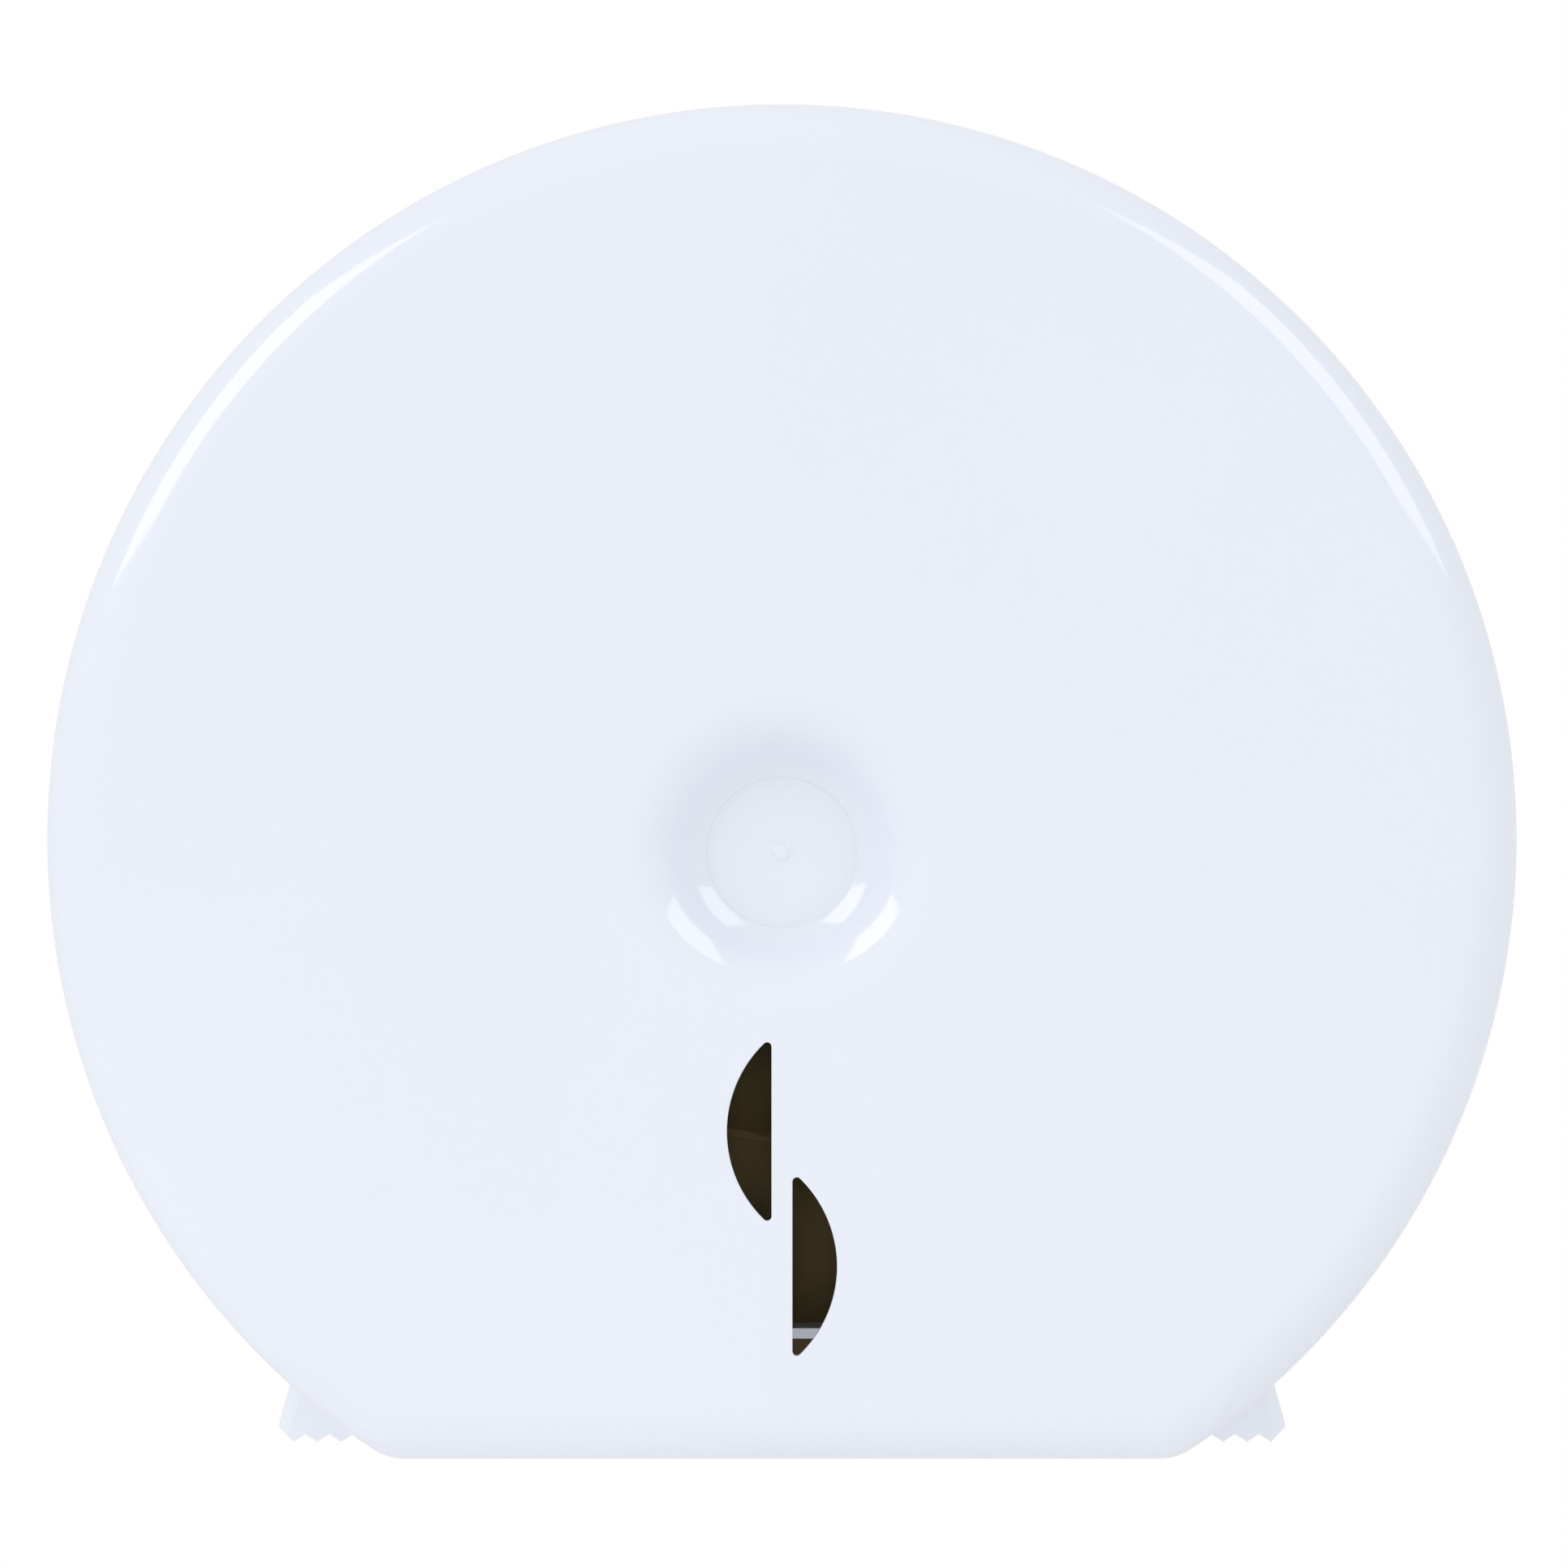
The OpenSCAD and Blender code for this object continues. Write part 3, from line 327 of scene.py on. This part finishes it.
def fill_outline(bm, first, last):
    """Closes the chain from first to last with an edge and fills it with one face."""
    bm.edges.new((last, first))
    loop, vert = [], first
    edge = first.link_edges[0]
    while edge not in loop:
        loop.append(edge)
        vert = edge.other_vert(vert)
        edge = next((e for e in vert.link_edges if e is not edge), edge)
    face = bmesh.ops.edgeloop_fill(bm, edges=loop)["faces"][0]
    face.normal_update()
    if face.normal.z < 0:
        face.normal_flip()
    return face


# %% Skin from insets
def inset(bm, face, across, up):
    """Shrinks a face by `across` and lifts it by `up`; the ring left behind is new skin."""
    bmesh.ops.inset_region(bm, faces=[face], thickness=across, depth=up,
                           use_boundary=True, use_even_offset=True)


def roll_over(bm, face, radius, steps):
    """A rolled edge: insets that start upright and end level, as round the cover's face."""
    for i in range(steps):
        a, b = (math.radians(90 * k / steps) for k in (i, i + 1))
        inset(bm, face, radius * (math.cos(a) - math.cos(b)), radius * (math.sin(b) - math.sin(a)))


def roll_in(bm, face, radius, steps):
    """The opposite: insets that start level and end upright, down into an opening."""
    for i in range(steps):
        a, b = (math.radians(90 * k / steps) for k in (i, i + 1))
        inset(bm, face, radius * (math.sin(b) - math.sin(a)), -radius * (math.cos(a) - math.cos(b)))


# %% [markdown]
# ## The cover
# The drum cover is one thin moulding: a round wall with a flat foot and two soft corners, an edge
# rolled over at a radius of 10 mm, and a flat face with a trumpet-shaped dish and two half-moon
# windows. Outer and inner skin are the same construction, 2.5 mm apart, so one function makes
# both. They are then joined at the back edge and round the windows, which closes the shell.

# %% Sizes of the cover
HOUSING_R = 135.0              # mm, as every size from here on
FLAT_DROP = 114.0              # from the housing's centre down to its flat foot
CORNER_R = 12.0                # of the two soft corners beside the foot
DEPTH = 125.0                  # from the wall to the face
WALL = 2.5
EDGE_R = 10.0                  # of the edge that is rolled over to the face
COVER_BACK = 22.5              # from the wall to the cover's back edge
DRAFT = 0.5                    # degrees that the round wall leans in, to leave its mould
DRAFT_IN = round((DEPTH - EDGE_R - COVER_BACK) * math.tan(math.radians(DRAFT)), 3)
ROUND_STEPS, CORNER_STEPS, ROLL_STEPS = 232, 12, 14
CORNER_Y = CORNER_R - FLAT_DROP
CORNER_X = math.sqrt((HOUSING_R - CORNER_R) ** 2 - CORNER_Y ** 2)
CORNER_TURN = 90 + math.degrees(math.atan2(CORNER_Y, CORNER_X))
print("corner centre", round(CORNER_X, 2), round(CORNER_Y, 2), "turn", round(CORNER_TURN, 1))


def housing_face(bm, inset_by, z):
    """The housing's outline as one face, set in from the cover's back edge."""
    first = bm.verts.new((CORNER_X, -FLAT_DROP + inset_by, z))
    tangent = arc(bm, first, (CORNER_X, CORNER_Y, z), CORNER_TURN, CORNER_STEPS)
    tangent = arc(bm, tangent, (0, 0, z), 360 - 2 * CORNER_TURN, ROUND_STEPS)
    last = arc(bm, tangent, (-CORNER_X, CORNER_Y, z), CORNER_TURN, CORNER_STEPS)
    return fill_outline(bm, first, last)


# %% [markdown]
# ## The dish
# The dish steadies the open end of the roll's core, and the plastic was injected at its middle,
# where the gate left a small mark. It is a shape of revolution, so its half section is drawn as
# lines and arcs and spun once round the spindle. The section matters more than it seems: a gloss
# surface shows each change of slope as the edge of a highlight, so the wall's arcs and its
# straight stretch meet without a kink. Only the floor is set in, by a step of 0.3 mm.

# %% Sizes of the dish
SPINDLE_DROP = 2.4             # from the housing's centre down to the spindle's axis
SUPPORT = 0.5                  # ring beside each curve that keeps the flat face's shading flat
GATE_R, GATE_RISE = 1.6, 0.32
DISH_RIM_R, DISH_FLOOR_R = 29.5, 14.2
FOOT_TOP_R = 17.7              # where the wall's foot runs out into its straight stretch
FOOT_LEAN, WALL_LEAN = 28, 46  # degrees that the wall's foot and its straight stretch rise
DISH_ARC_R, CORNER_FILLET = 13.1, 0.8
FLOOR_SUNK, SUNK_RUN = 0.3, 0.25
FILLET_STEPS, FOOT_STEPS, RIM_STEPS, DISH_STEPS = 4, 8, 20, 128
GATE_DOME = [(0.3, 0.30), (0.6, 0.23), (0.85, 0.12), (1.0, -0.06)]   # shares of GATE_R, heights
GATE_WELL = [(1.15, -0.14), (1.6, -0.08), (2.1, 0.0)]
X, Y = Vector((1, 0, 0)), Vector((0, 1, 0))
SPINDLE = Vector((0, -SPINDLE_DROP, 0))


def off_slope(degrees):
    """The direction square to a wall that rises away from the spindle at this slope."""
    slope = math.radians(degrees)
    return Vector((-math.sin(slope), 0, math.cos(slope)))


# %% Where the dish's arcs meet
RIM_CENTRE = SPINDLE + Vector((DISH_RIM_R, 0, DEPTH - DISH_ARC_R))
WALL_TOP = RIM_CENTRE + DISH_ARC_R * off_slope(WALL_LEAN)
WALL_FOOT = WALL_TOP + (FOOT_TOP_R - WALL_TOP.x) * Vector((1, 0, math.tan(math.radians(WALL_LEAN))))
FOOT_R = (FOOT_TOP_R - DISH_FLOOR_R) / (off_slope(FOOT_LEAN).x - off_slope(WALL_LEAN).x)
FOOT_CENTRE = WALL_FOOT + FOOT_R * off_slope(WALL_LEAN)
CORNER_CENTRE = FOOT_CENTRE + (CORNER_FILLET - FOOT_R) * off_slope(FOOT_LEAN)
FLOOR_EDGE = CORNER_CENTRE - CORNER_FILLET * Z
print("dish", round(DEPTH - FLOOR_EDGE.z + FLOOR_SUNK, 2), "mm deep")


# %% The dish's surface
def chain(bm, start, points):
    """Straight edges from a vertex through the points; returns the last vertex."""
    for point in points:
        following = bm.verts.new(point)
        bm.edges.new((start, following))
        start = following
    return start


def dish_skin(bm, behind):
    """The dish, `behind` its outer surface: a floor, a wall that steepens and a rim rolled over."""
    edge = FLOOR_EDGE - behind * Z
    sunk = edge - Vector((SUNK_RUN, 0, FLOOR_SUNK))
    middle = Vector((0, sunk.y, sunk.z))
    before = set(bm.edges)
    if behind:
        vert = bm.verts.new(middle)
    else:
        vert = bm.verts.new(middle + GATE_RISE * Z)
        mark = [middle + Vector((GATE_R * r, 0, h)) for r, h in GATE_DOME + GATE_WELL]
        vert = chain(bm, vert, mark)
    vert = chain(bm, vert, [sunk - SUNK_RUN * X, sunk, edge])
    vert = arc(bm, vert, CORNER_CENTRE, -FOOT_LEAN, FILLET_STEPS, Y)
    vert = arc(bm, vert, FOOT_CENTRE, FOOT_LEAN - WALL_LEAN, FOOT_STEPS, Y)
    vert = chain(bm, vert, [RIM_CENTRE + (DISH_ARC_R - behind) * off_slope(WALL_LEAN)])
    vert = arc(bm, vert, RIM_CENTRE, WALL_LEAN, RIM_STEPS, Y)
    chain(bm, vert, [vert.co + SUPPORT * X])
    profile = [e for e in bm.edges if e not in before]
    bmesh.ops.spin(bm, geom=profile + ends_of(profile), cent=SPINDLE, axis=Z,
                   angle=math.radians(360), steps=DISH_STEPS, use_merge=True)
    dish = [e for e in bm.edges if e not in before]
    bmesh.ops.remove_doubles(bm, verts=ends_of(dish), dist=SAME)


# %% [markdown]
# ## The windows
# Two half-moons show how much paper is left. Each is a straight side and a bow with small rounds
# at its two tips, and one is the other turned by half a turn, so one function draws both. In the
# outer skin the outline is inset into the opening: first a hair's fillet, as a polished mould
# leaves it, and then the wall's thickness.

# %% A window's outline
WINDOW_LEN, WINDOW_W, TIP_R = 34.4, 8.1, 0.8
WINDOW_GAP = 3.8               # between the two straight sides
WINDOW_SHIFT = 24.5            # from one window's middle to the other's, up and down
WINDOWS_DROP = 65.3            # from the housing's centre to the middle of the pair
TIP_STEPS, BOW_STEPS = 10, 40
BOW_R = ((WINDOW_LEN / 2) ** 2 + WINDOW_W ** 2) / (2 * WINDOW_W)
print("bow radius", round(BOW_R, 2))


def half_moon_face(bm, side, grow, z):
    """One half-moon window's outline as a face; side is -1 left or 1 right."""
    bow_x = WINDOW_W - BOW_R
    tip_y = math.sqrt((BOW_R - TIP_R) ** 2 - (TIP_R - bow_x) ** 2)
    tip_turn = math.degrees(math.atan2(tip_y, TIP_R - bow_x))
    middle = Vector((side * WINDOW_GAP / 2, -WINDOWS_DROP - side * WINDOW_SHIFT / 2, z))

    def at(x, y):
        return middle + Vector((side * x, y, 0))

    first = bm.verts.new(at(-grow, -tip_y))
    vert = arc(bm, first, at(TIP_R, -tip_y), side * (180 - tip_turn), TIP_STEPS)
    vert = arc(bm, vert, at(bow_x, 0), side * 2 * tip_turn, BOW_STEPS)
    last = arc(bm, vert, at(TIP_R, tip_y), side * (180 - tip_turn), TIP_STEPS)
    return fill_outline(bm, first, last)


# %% A window in the outer skin
WINDOW_FILLET, WINDOW_FILLET_STEPS = 0.15, 3


def window_skin(bm, side):
    """A window in the outer skin: a ring on the face, a hair's fillet and the wall's thickness."""
    face = half_moon_face(bm, side, WINDOW_FILLET + SUPPORT, DEPTH)
    inset(bm, face, SUPPORT, 0)
    roll_in(bm, face, WINDOW_FILLET, WINDOW_FILLET_STEPS)
    inset(bm, face, 0, DEPTH - WALL - face.verts[0].co.z)
    bm.faces.remove(face)


# %% One skin of the cover
def cover_skin(bm, behind):
    """The outer skin (behind = 0) or the inner one, from its back edge to its face."""
    before = set(bm.edges)
    face = housing_face(bm, behind, COVER_BACK)
    inset(bm, face, DRAFT_IN, DEPTH - EDGE_R - COVER_BACK)
    roll_over(bm, face, EDGE_R - behind, ROLL_STEPS)
    inset(bm, face, SUPPORT, 0)
    bm.faces.remove(face)
    dish_skin(bm, behind)
    for side in (-1, 1):
        if behind:
            bm.faces.remove(half_moon_face(bm, side, 0, DEPTH - behind))
        else:
            window_skin(bm, side)
    level = DEPTH - behind
    plane = [e for e in bm.edges if e not in before and len(e.link_faces) < 2
             and all(abs(v.co.z - level) < SAME for v in e.verts)]
    bmesh.ops.triangle_fill(bm, edges=plane, use_beauty=True)


# %% [markdown]
# ## Closing the shell
# The two skins are still open where they meet: round both windows and along the back edge. The
# windows' walls end on the inner skin's outline, so their vertices only need merging. The back
# edge gets a ring of new faces between its two loops.

# %% Shell of the cover
SEAM = 0.05                    # the most that a window's wall may miss the inner skin's outline

bm = bmesh.new()
cover_skin(bm, 0)
cover_skin(bm, WALL)
bmesh.ops.remove_doubles(bm, verts=bm.verts, dist=SAME)
window_foot = [v for v in ends_of(e for e in bm.edges if e.is_boundary)
               if abs(v.co.z - DEPTH + WALL) < SAME]
bmesh.ops.remove_doubles(bm, verts=window_foot, dist=SEAM)
back_edges = [e for e in bm.edges if e.is_boundary and abs(e.verts[0].co.z - COVER_BACK) < SEAM]
bmesh.ops.bridge_loops(bm, edges=back_edges)
bmesh.ops.recalc_face_normals(bm, faces=bm.faces)
print("cover shell: verts", len(bm.verts), "open edges", sum(e.is_boundary for e in bm.edges),
      "non-manifold", sum(not e.is_manifold for e in bm.edges))

# %% [markdown]
# ## Cutting and joining
# The paper mouth is an opening cut through the flat foot, and the hinge knuckles, the stiffening
# rib along the mouth's lip and the lock's pad are lumps joined to the shell. A Boolean does both:
# the tool is a small closed mesh, the exact solver joins or cuts, and the result is one clean skin.

# %% Boolean helper
def solid(bm, name="tool"):
    """A closed bmesh as a loose object, for use as a Boolean tool."""
    bmesh.ops.recalc_face_normals(bm, faces=bm.faces)
    mesh = bpy.data.meshes.new(name)
    bm.to_mesh(mesh)
    bm.free()
    thing = bpy.data.objects.new(name, mesh)
    bpy.context.scene.collection.objects.link(thing)
    return thing


def combine(bm, steps):
    """Joins or cuts tools into a bmesh, one after another, and returns the new bmesh."""
    work = solid(bm, "work")
    for operation, tool_bm in steps:
        tool = solid(tool_bm)
        cutter = work.modifiers.new("cut", "BOOLEAN")
        cutter.operation, cutter.object, cutter.solver = operation, tool, "EXACT"
        graph = bpy.context.evaluated_depsgraph_get()
        result = bpy.data.meshes.new_from_object(work.evaluated_get(graph))
        work.modifiers.clear()
        work.data = result
        bpy.data.objects.remove(tool)
    made = bmesh.new()
    made.from_mesh(work.data)
    bpy.data.objects.remove(work)
    return made


# %% Blocks and rods
ROD_STEPS = 64


def block(x, y, z):
    """A box from three (low, high) pairs."""
    bm = bmesh.new()
    bmesh.ops.create_cube(bm, size=1)
    size = [high - low for low, high in (x, y, z)]
    middle = [(high + low) / 2 for low, high in (x, y, z)]
    bmesh.ops.scale(bm, vec=size, verts=bm.verts)
    bmesh.ops.translate(bm, vec=middle, verts=bm.verts)
    return bm


def rod(start, along, length, radius, steps=ROD_STEPS):
    """A cylinder from start, in the direction of a unit vector."""
    bm = bmesh.new()
    bmesh.ops.create_cone(bm, cap_ends=True, segments=steps, radius1=radius, radius2=radius,
                          depth=length)
    bmesh.ops.translate(bm, vec=(0, 0, length / 2), verts=bm.verts)
    turn = Vector(along).to_track_quat("Z", "Y").to_matrix().to_4x4()
    bmesh.ops.transform(bm, matrix=Matrix.Translation(start) @ turn, verts=bm.verts)
    return bm


# %% Sizes of the mouth, the knuckles and the lock's pad
MOUTH_LIP, MOUTH_CORNER_R = 17.0, 6.0         # strip of the foot left before the mouth, and corners
MOUTH_CORNER_STEPS = 8
LIP_RIB_H, LIP_RIB_T = 4.0, 2.0               # the stiffening rib along that strip
KNUCKLE_R, KNUCKLE_LEN, KNUCKLE_BORE_R = 3.8, 6.3, 1.56
KNUCKLE_PAST = 0.6                            # beyond where the foot's soft corner starts
KNUCKLE_END = CORNER_X + KNUCKLE_PAST
KNUCKLE_START = KNUCKLE_END - KNUCKLE_LEN
HINGE_UP, HINGE_IN = 4.0, 4.5                 # the hinge's axis from the foot and the back edge
HINGE_Y, HINGE_Z = -FLAT_DROP + HINGE_UP, COVER_BACK + HINGE_IN
WEB_SHORT, WEB_LONG = 0.4, 4.4                # where the knuckle's web ends, behind and before it
WEB_BACK, WEB_FRONT = HINGE_Z - KNUCKLE_R + WEB_SHORT, HINGE_Z + KNUCKLE_R + WEB_LONG
LOCK_Y, LOCK_Z = 135.4, 44.5
PAD_R, PAD_T, LOCK_HOLE_R = 11.5, 6.0, 6.15
LOCK_FLAT = 0.87                              # half width over the flats, as a share of the radius
PAD_STEPS, BORE_STEPS = 96, 32
MOUTH_FRONT = DEPTH - MOUTH_LIP
INSIDE_WALL = -FLAT_DROP + WALL / 2           # where lumps start, so that they fuse with the wall
CLEAR, CLEAR_BACK, CLEAR_PAD = 1, 5, 6        # how far the cutting tools run past what they cut
print("mouth", round(2 * KNUCKLE_START, 1), "mm wide, knuckles to", round(KNUCKLE_END, 1))


# %% Tools for the mouth and the lock's hole
def mouth_tool():
    """The mouth's opening as a block with two round corners, which runs out of the back edge."""
    bm = block((-KNUCKLE_START, KNUCKLE_START), (-FLAT_DROP - CLEAR, -FLAT_DROP + WALL + CLEAR),
               (COVER_BACK - CLEAR_BACK, MOUTH_FRONT))
    corners = [e for e in bm.edges if all(abs(v.co.z - MOUTH_FRONT) < SAME for v in e.verts)
               and abs(e.verts[0].co.x - e.verts[1].co.x) < SAME]
    bmesh.ops.bevel(bm, geom=corners, offset=MOUTH_CORNER_R, offset_type="OFFSET",
                    segments=MOUTH_CORNER_STEPS, affect="EDGES", profile=0.5, material=-1)
    return bm


def lock_hole_tool():
    """A round hole with two flats, which keeps the lock's barrel from turning."""
    bm = rod((0, LOCK_Y + CLEAR, LOCK_Z), (0, -1, 0), PAD_T + CLEAR_PAD, LOCK_HOLE_R)
    for side in (-1, 1):
        cut = bmesh.ops.bisect_plane(bm, geom=bm.verts[:] + bm.edges[:] + bm.faces[:],
                                     plane_co=(side * LOCK_FLAT * LOCK_HOLE_R, 0, 0),
                                     plane_no=(side, 0, 0), clear_outer=True)["geom_cut"]
        bmesh.ops.edgeloop_fill(bm, edges=[e for e in cut if isinstance(e, bmesh.types.BMEdge)])
    return bm


# %% The cover as one piece
steps = [("UNION", block((-KNUCKLE_START, KNUCKLE_START),
                         (INSIDE_WALL, -FLAT_DROP + WALL + LIP_RIB_H),
                         (MOUTH_FRONT, MOUTH_FRONT + LIP_RIB_T))),
         ("UNION", rod((0, LOCK_Y, LOCK_Z), (0, -1, 0), PAD_T, PAD_R, PAD_STEPS)),
         ("DIFFERENCE", mouth_tool()), ("DIFFERENCE", lock_hole_tool())]
for side in (-1, 1):
    inner = side * KNUCKLE_START
    web = sorted((inner, side * KNUCKLE_END))
    steps += [
        ("UNION", rod((inner, HINGE_Y, HINGE_Z), (side, 0, 0), KNUCKLE_LEN, KNUCKLE_R)),
        ("UNION", block(web, (INSIDE_WALL, HINGE_Y), (WEB_BACK, WEB_FRONT))),
        ("DIFFERENCE", rod((inner - side * CLEAR, HINGE_Y, HINGE_Z), (side, 0, 0),
                           KNUCKLE_LEN + 2 * CLEAR, KNUCKLE_BORE_R, BORE_STEPS))]
bm = combine(bm, steps)
print("cover: open edges", sum(e.is_boundary for e in bm.edges),
      "non-manifold", sum(not e.is_manifold for e in bm.edges))
place(bm, "drum_cover", "cover_shell", white_gloss, ["cover"])

# %% [markdown]
# ## Softened solids
# A solid straight from the drawing has razor edges, and no moulding or screw has those: light
# never catches on them. The other pieces keep their exact shape but get a small round on every
# sharp edge. A copy of each solid is merged, its flat faces are made whole again, and its sharp
# edges are bevelled by a fraction of a millimetre. Weighted normals let the large faces decide
# the shading: a flat plate then stays flat up to its rounded edge.

# %% Softening helper
SHARP, FLAT = math.radians(32), math.radians(0.3)   # angles between two faces
SOFT_STEPS, SOFT_CREASE = 2, 50


def soften(node, name, material, radius):
    """A copy of a solid whose sharp edges are rounded, in place of that solid."""
    bodies = frame["record"]["behaviour"]["bodies"]
    body = next(b for b, members in bodies.items() if node in members)
    bm = bmesh.new()
    bm.from_mesh(frame["nodes"][node].data)
    bmesh.ops.transform(bm, matrix=ON_WALL.inverted(), verts=bm.verts)
    bmesh.ops.remove_doubles(bm, verts=bm.verts, dist=2 * SAME)
    bmesh.ops.dissolve_limit(bm, angle_limit=FLAT, verts=bm.verts, edges=bm.edges)
    sharp = [e for e in bm.edges if len(e.link_faces) == 2 and e.calc_face_angle() > SHARP]
    bmesh.ops.bevel(bm, geom=sharp, offset=radius, offset_type="OFFSET",
                    segments=SOFT_STEPS, affect="EDGES", profile=0.5, material=-1,
                    clamp_overlap=True)
    for layer in list(bm.loops.layers.uv):
        bm.loops.layers.uv.remove(layer)
    piece = place(bm, name, body, material, [node], SOFT_CREASE)
    level_faces = piece.modifiers.new("level_faces", "WEIGHTED_NORMAL")
    level_faces.keep_sharp = True


# %% All the other pieces
# Each row is a solid, its piece's name, its slot, its finish and the round on its edges in mm.
PIECES = [
    ("back_plate", "base_shell", "base_plastic", base_black, 0.3),
    ("outlet_frame", "tear_frame", "frame_plastic", frame_white_lifted, 0.2),
    ("outlet_screws", "tear_frame_screws", "screw_steel", zinc, 0.1),
    ("axle", "spindle_axle", "axle_plastic", axle_grey, 0.25),
    ("axle_screws", "spindle_screws", "screw_steel", zinc, 0.1),
    ("drag_spring", "brake_spring", "spring_steel", strip, 0.08),
    ("core_sleeve", "roll_sleeve", "sleeve_plastic", sleeve_grey, 0.25),
    ("axle_washer", "retaining_washer", "screw_steel", zinc, 0.12),
    ("axle_end_screw", "spindle_end_screw", "screw_steel", zinc, 0.12),
    ("sleeve_cap", "roll_sleeve_cap", "sleeve_plastic", sleeve_grey, 0.25),
    ("catch_bracket", "lock_catch", "spring_steel", strip, 0.25),
    ("catch_screws", "lock_catch_screws", "screw_steel", zinc, 0.1),
    ("hinge_pin_left", "left_hinge_pin", "screw_steel", zinc, 0.12),
    ("hinge_pin_right", "right_hinge_pin", "screw_steel", zinc, 0.12),
    ("lock_body", "lock_barrel", "lock_metal", chrome, 0.15),
    ("lock_nut", "lock_ring_nut", "screw_steel", zinc, 0.2),
    ("key_barrel", "lock_plug", "lock_metal", chrome, 0.1),
    ("lock_cam", "lock_tongue", "spring_steel", strip, 0.2),
    ("cam_screw", "tongue_screw", "screw_steel", zinc, 0.1),
]
for node, name, slot, material, radius in PIECES:
    soften(node, name, material, radius)

# The solids are all replaced, but each still carries a real material.
for node in frame["nodes"].values():
    node.data.materials.clear()
    node.data.materials.append(zinc)

# %% [markdown]
# ## Floor and light
# The dispenser hangs in an even, pale studio, where the light of a white room does most of the
# work. Two soft boxes to the upper left and right are seen only in the gloss: they draw the
# highlights on the rolled edge and in the dish. The sheets and the small lamp in front only shade.
# Gloss and shading can so be balanced one at a time, which a single set of lamps doesn't allow.

# %% Floor
FLOOR_R, FLOOR_BACK, FLOOR_DROP = 0.9, 0.1, 0.26   # metres
FLOOR_STEPS = 96

bm = bmesh.new()
bmesh.ops.create_circle(bm, cap_ends=True, segments=FLOOR_STEPS, radius=FLOOR_R)
bmesh.ops.translate(bm, vec=(0, FLOOR_BACK, -FLOOR_DROP), verts=bm.verts)
floor_mesh = bpy.data.meshes.new("studio_floor")
bm.to_mesh(floor_mesh)
bm.free()
floor = bpy.data.objects.new("studio_floor", floor_mesh)
floor_paint, _, _ = new_material("floor_paint", Base_Color=(0.9, 0.9, 0.9, 1), Roughness=0.7)
floor_mesh.materials.append(floor_paint)
bpy.context.scene.collection.objects.link(floor)
print("floor", 2 * FLOOR_R, "m across,", FLOOR_DROP, "m under the housing's centre")

# %% Soft boxes
WARM_WHITE, PLAIN_WHITE = (1.0, 0.96, 0.9), (1, 1, 1)


def soft_box(name, off_axis, round_axis, away, size, radiance, seen_in_gloss):
    """A square light, `away` metres from the face and off_axis degrees from its axis, towards
    the side that round_axis gives in degrees: 0 is right and 90 is up. Its strength is its
    radiance, so its size changes what it covers. It is either seen in the gloss or shades."""
    light = bpy.data.lights.new(name, "AREA")
    light.size = size
    light.energy = radiance * math.pi * size ** 2
    lamp = bpy.data.objects.new(name, light)
    tilt, turn = math.radians(off_axis), math.radians(round_axis)
    towards = Vector((math.sin(tilt) * math.cos(turn), -math.cos(tilt),
                      math.sin(tilt) * math.sin(turn)))
    lamp.location = Vector((0, -DEPTH * MM, 0)) + away * towards
    lamp.rotation_euler = (-towards).to_track_quat("-Z", "Y").to_euler()
    lamp.visible_camera = False
    light.color = WARM_WHITE if seen_in_gloss else PLAIN_WHITE
    lamp.visible_glossy = seen_in_gloss
    lamp.visible_diffuse = not seen_in_gloss
    bpy.context.scene.collection.objects.link(lamp)
    return lamp


soft_box("soft_box_left", 66, 141, 1.6, 0.85, 2.75, True)
soft_box("soft_box_right", 67, 41, 1.6, 0.9, 2.2, True)
soft_box("left_sheet", 66, 141, 3.0, 1.5, 1.4, False)
soft_box("right_sheet", 67, 41, 3.0, 1.5, 0.6, False)
soft_box("overhead_sheet", 45, 115, 3.0, 1.5, 0.6, False)
soft_box("front_lamp", 0, 90, 3.0, 0.15, 40, False)
soft_box("floor_bounce", 90, -90, 0.26, 1.0, 0.19, False)

# %% [markdown]
# ## The dark inside
# The base is dark and lies deep behind two narrow windows, where little of the room's light
# comes. One more lamp from the front brings its brown out. Light linking keeps it off the white
# pieces: a lamp lights only what is in its receiver collection.

# %% A lamp for the base alone
window_lamp = soft_box("window_lamp", 0, 90, 1.5, 0.15, 225, False)
behind_windows = bpy.data.collections.new("behind_windows")
behind_windows.objects.link(bpy.data.objects["base_shell"])
window_lamp.light_linking.receiver_collection = behind_windows

# %% [markdown]
# ## The white room
# The room is white to the camera and a little darker to everything else, so that the background
# is pure white while the plastic keeps its tone. A Light Path node tells the two apart.

# %% White room
SEEN_STRENGTH, LIT_STRENGTH, LIT_COLOUR = 1.0, 0.875, (0.995, 0.995, 1.0, 1)
world = bpy.data.worlds.new("white_room")
bpy.context.scene.world = world
world.use_nodes = True
tree = world.node_tree
tree.nodes.clear()
seen = add(tree, "ShaderNodeBackground", Color=(1, 1, 1, 1), Strength=SEEN_STRENGTH)
lit = add(tree, "ShaderNodeBackground", Color=LIT_COLOUR, Strength=LIT_STRENGTH)
path = add(tree, "ShaderNodeLightPath")
choose = add(tree, "ShaderNodeMixShader")
out = add(tree, "ShaderNodeOutputWorld")
tree.links.new(path.outputs["Is Camera Ray"], choose.inputs["Fac"])
tree.links.new(lit.outputs[0], choose.inputs[1])
tree.links.new(seen.outputs[0], choose.inputs[2])
tree.links.new(choose.outputs[0], out.inputs["Surface"])
bpy.context.scene.view_settings.view_transform = "Standard"
print("room", LIT_STRENGTH, "of the white that the camera sees")
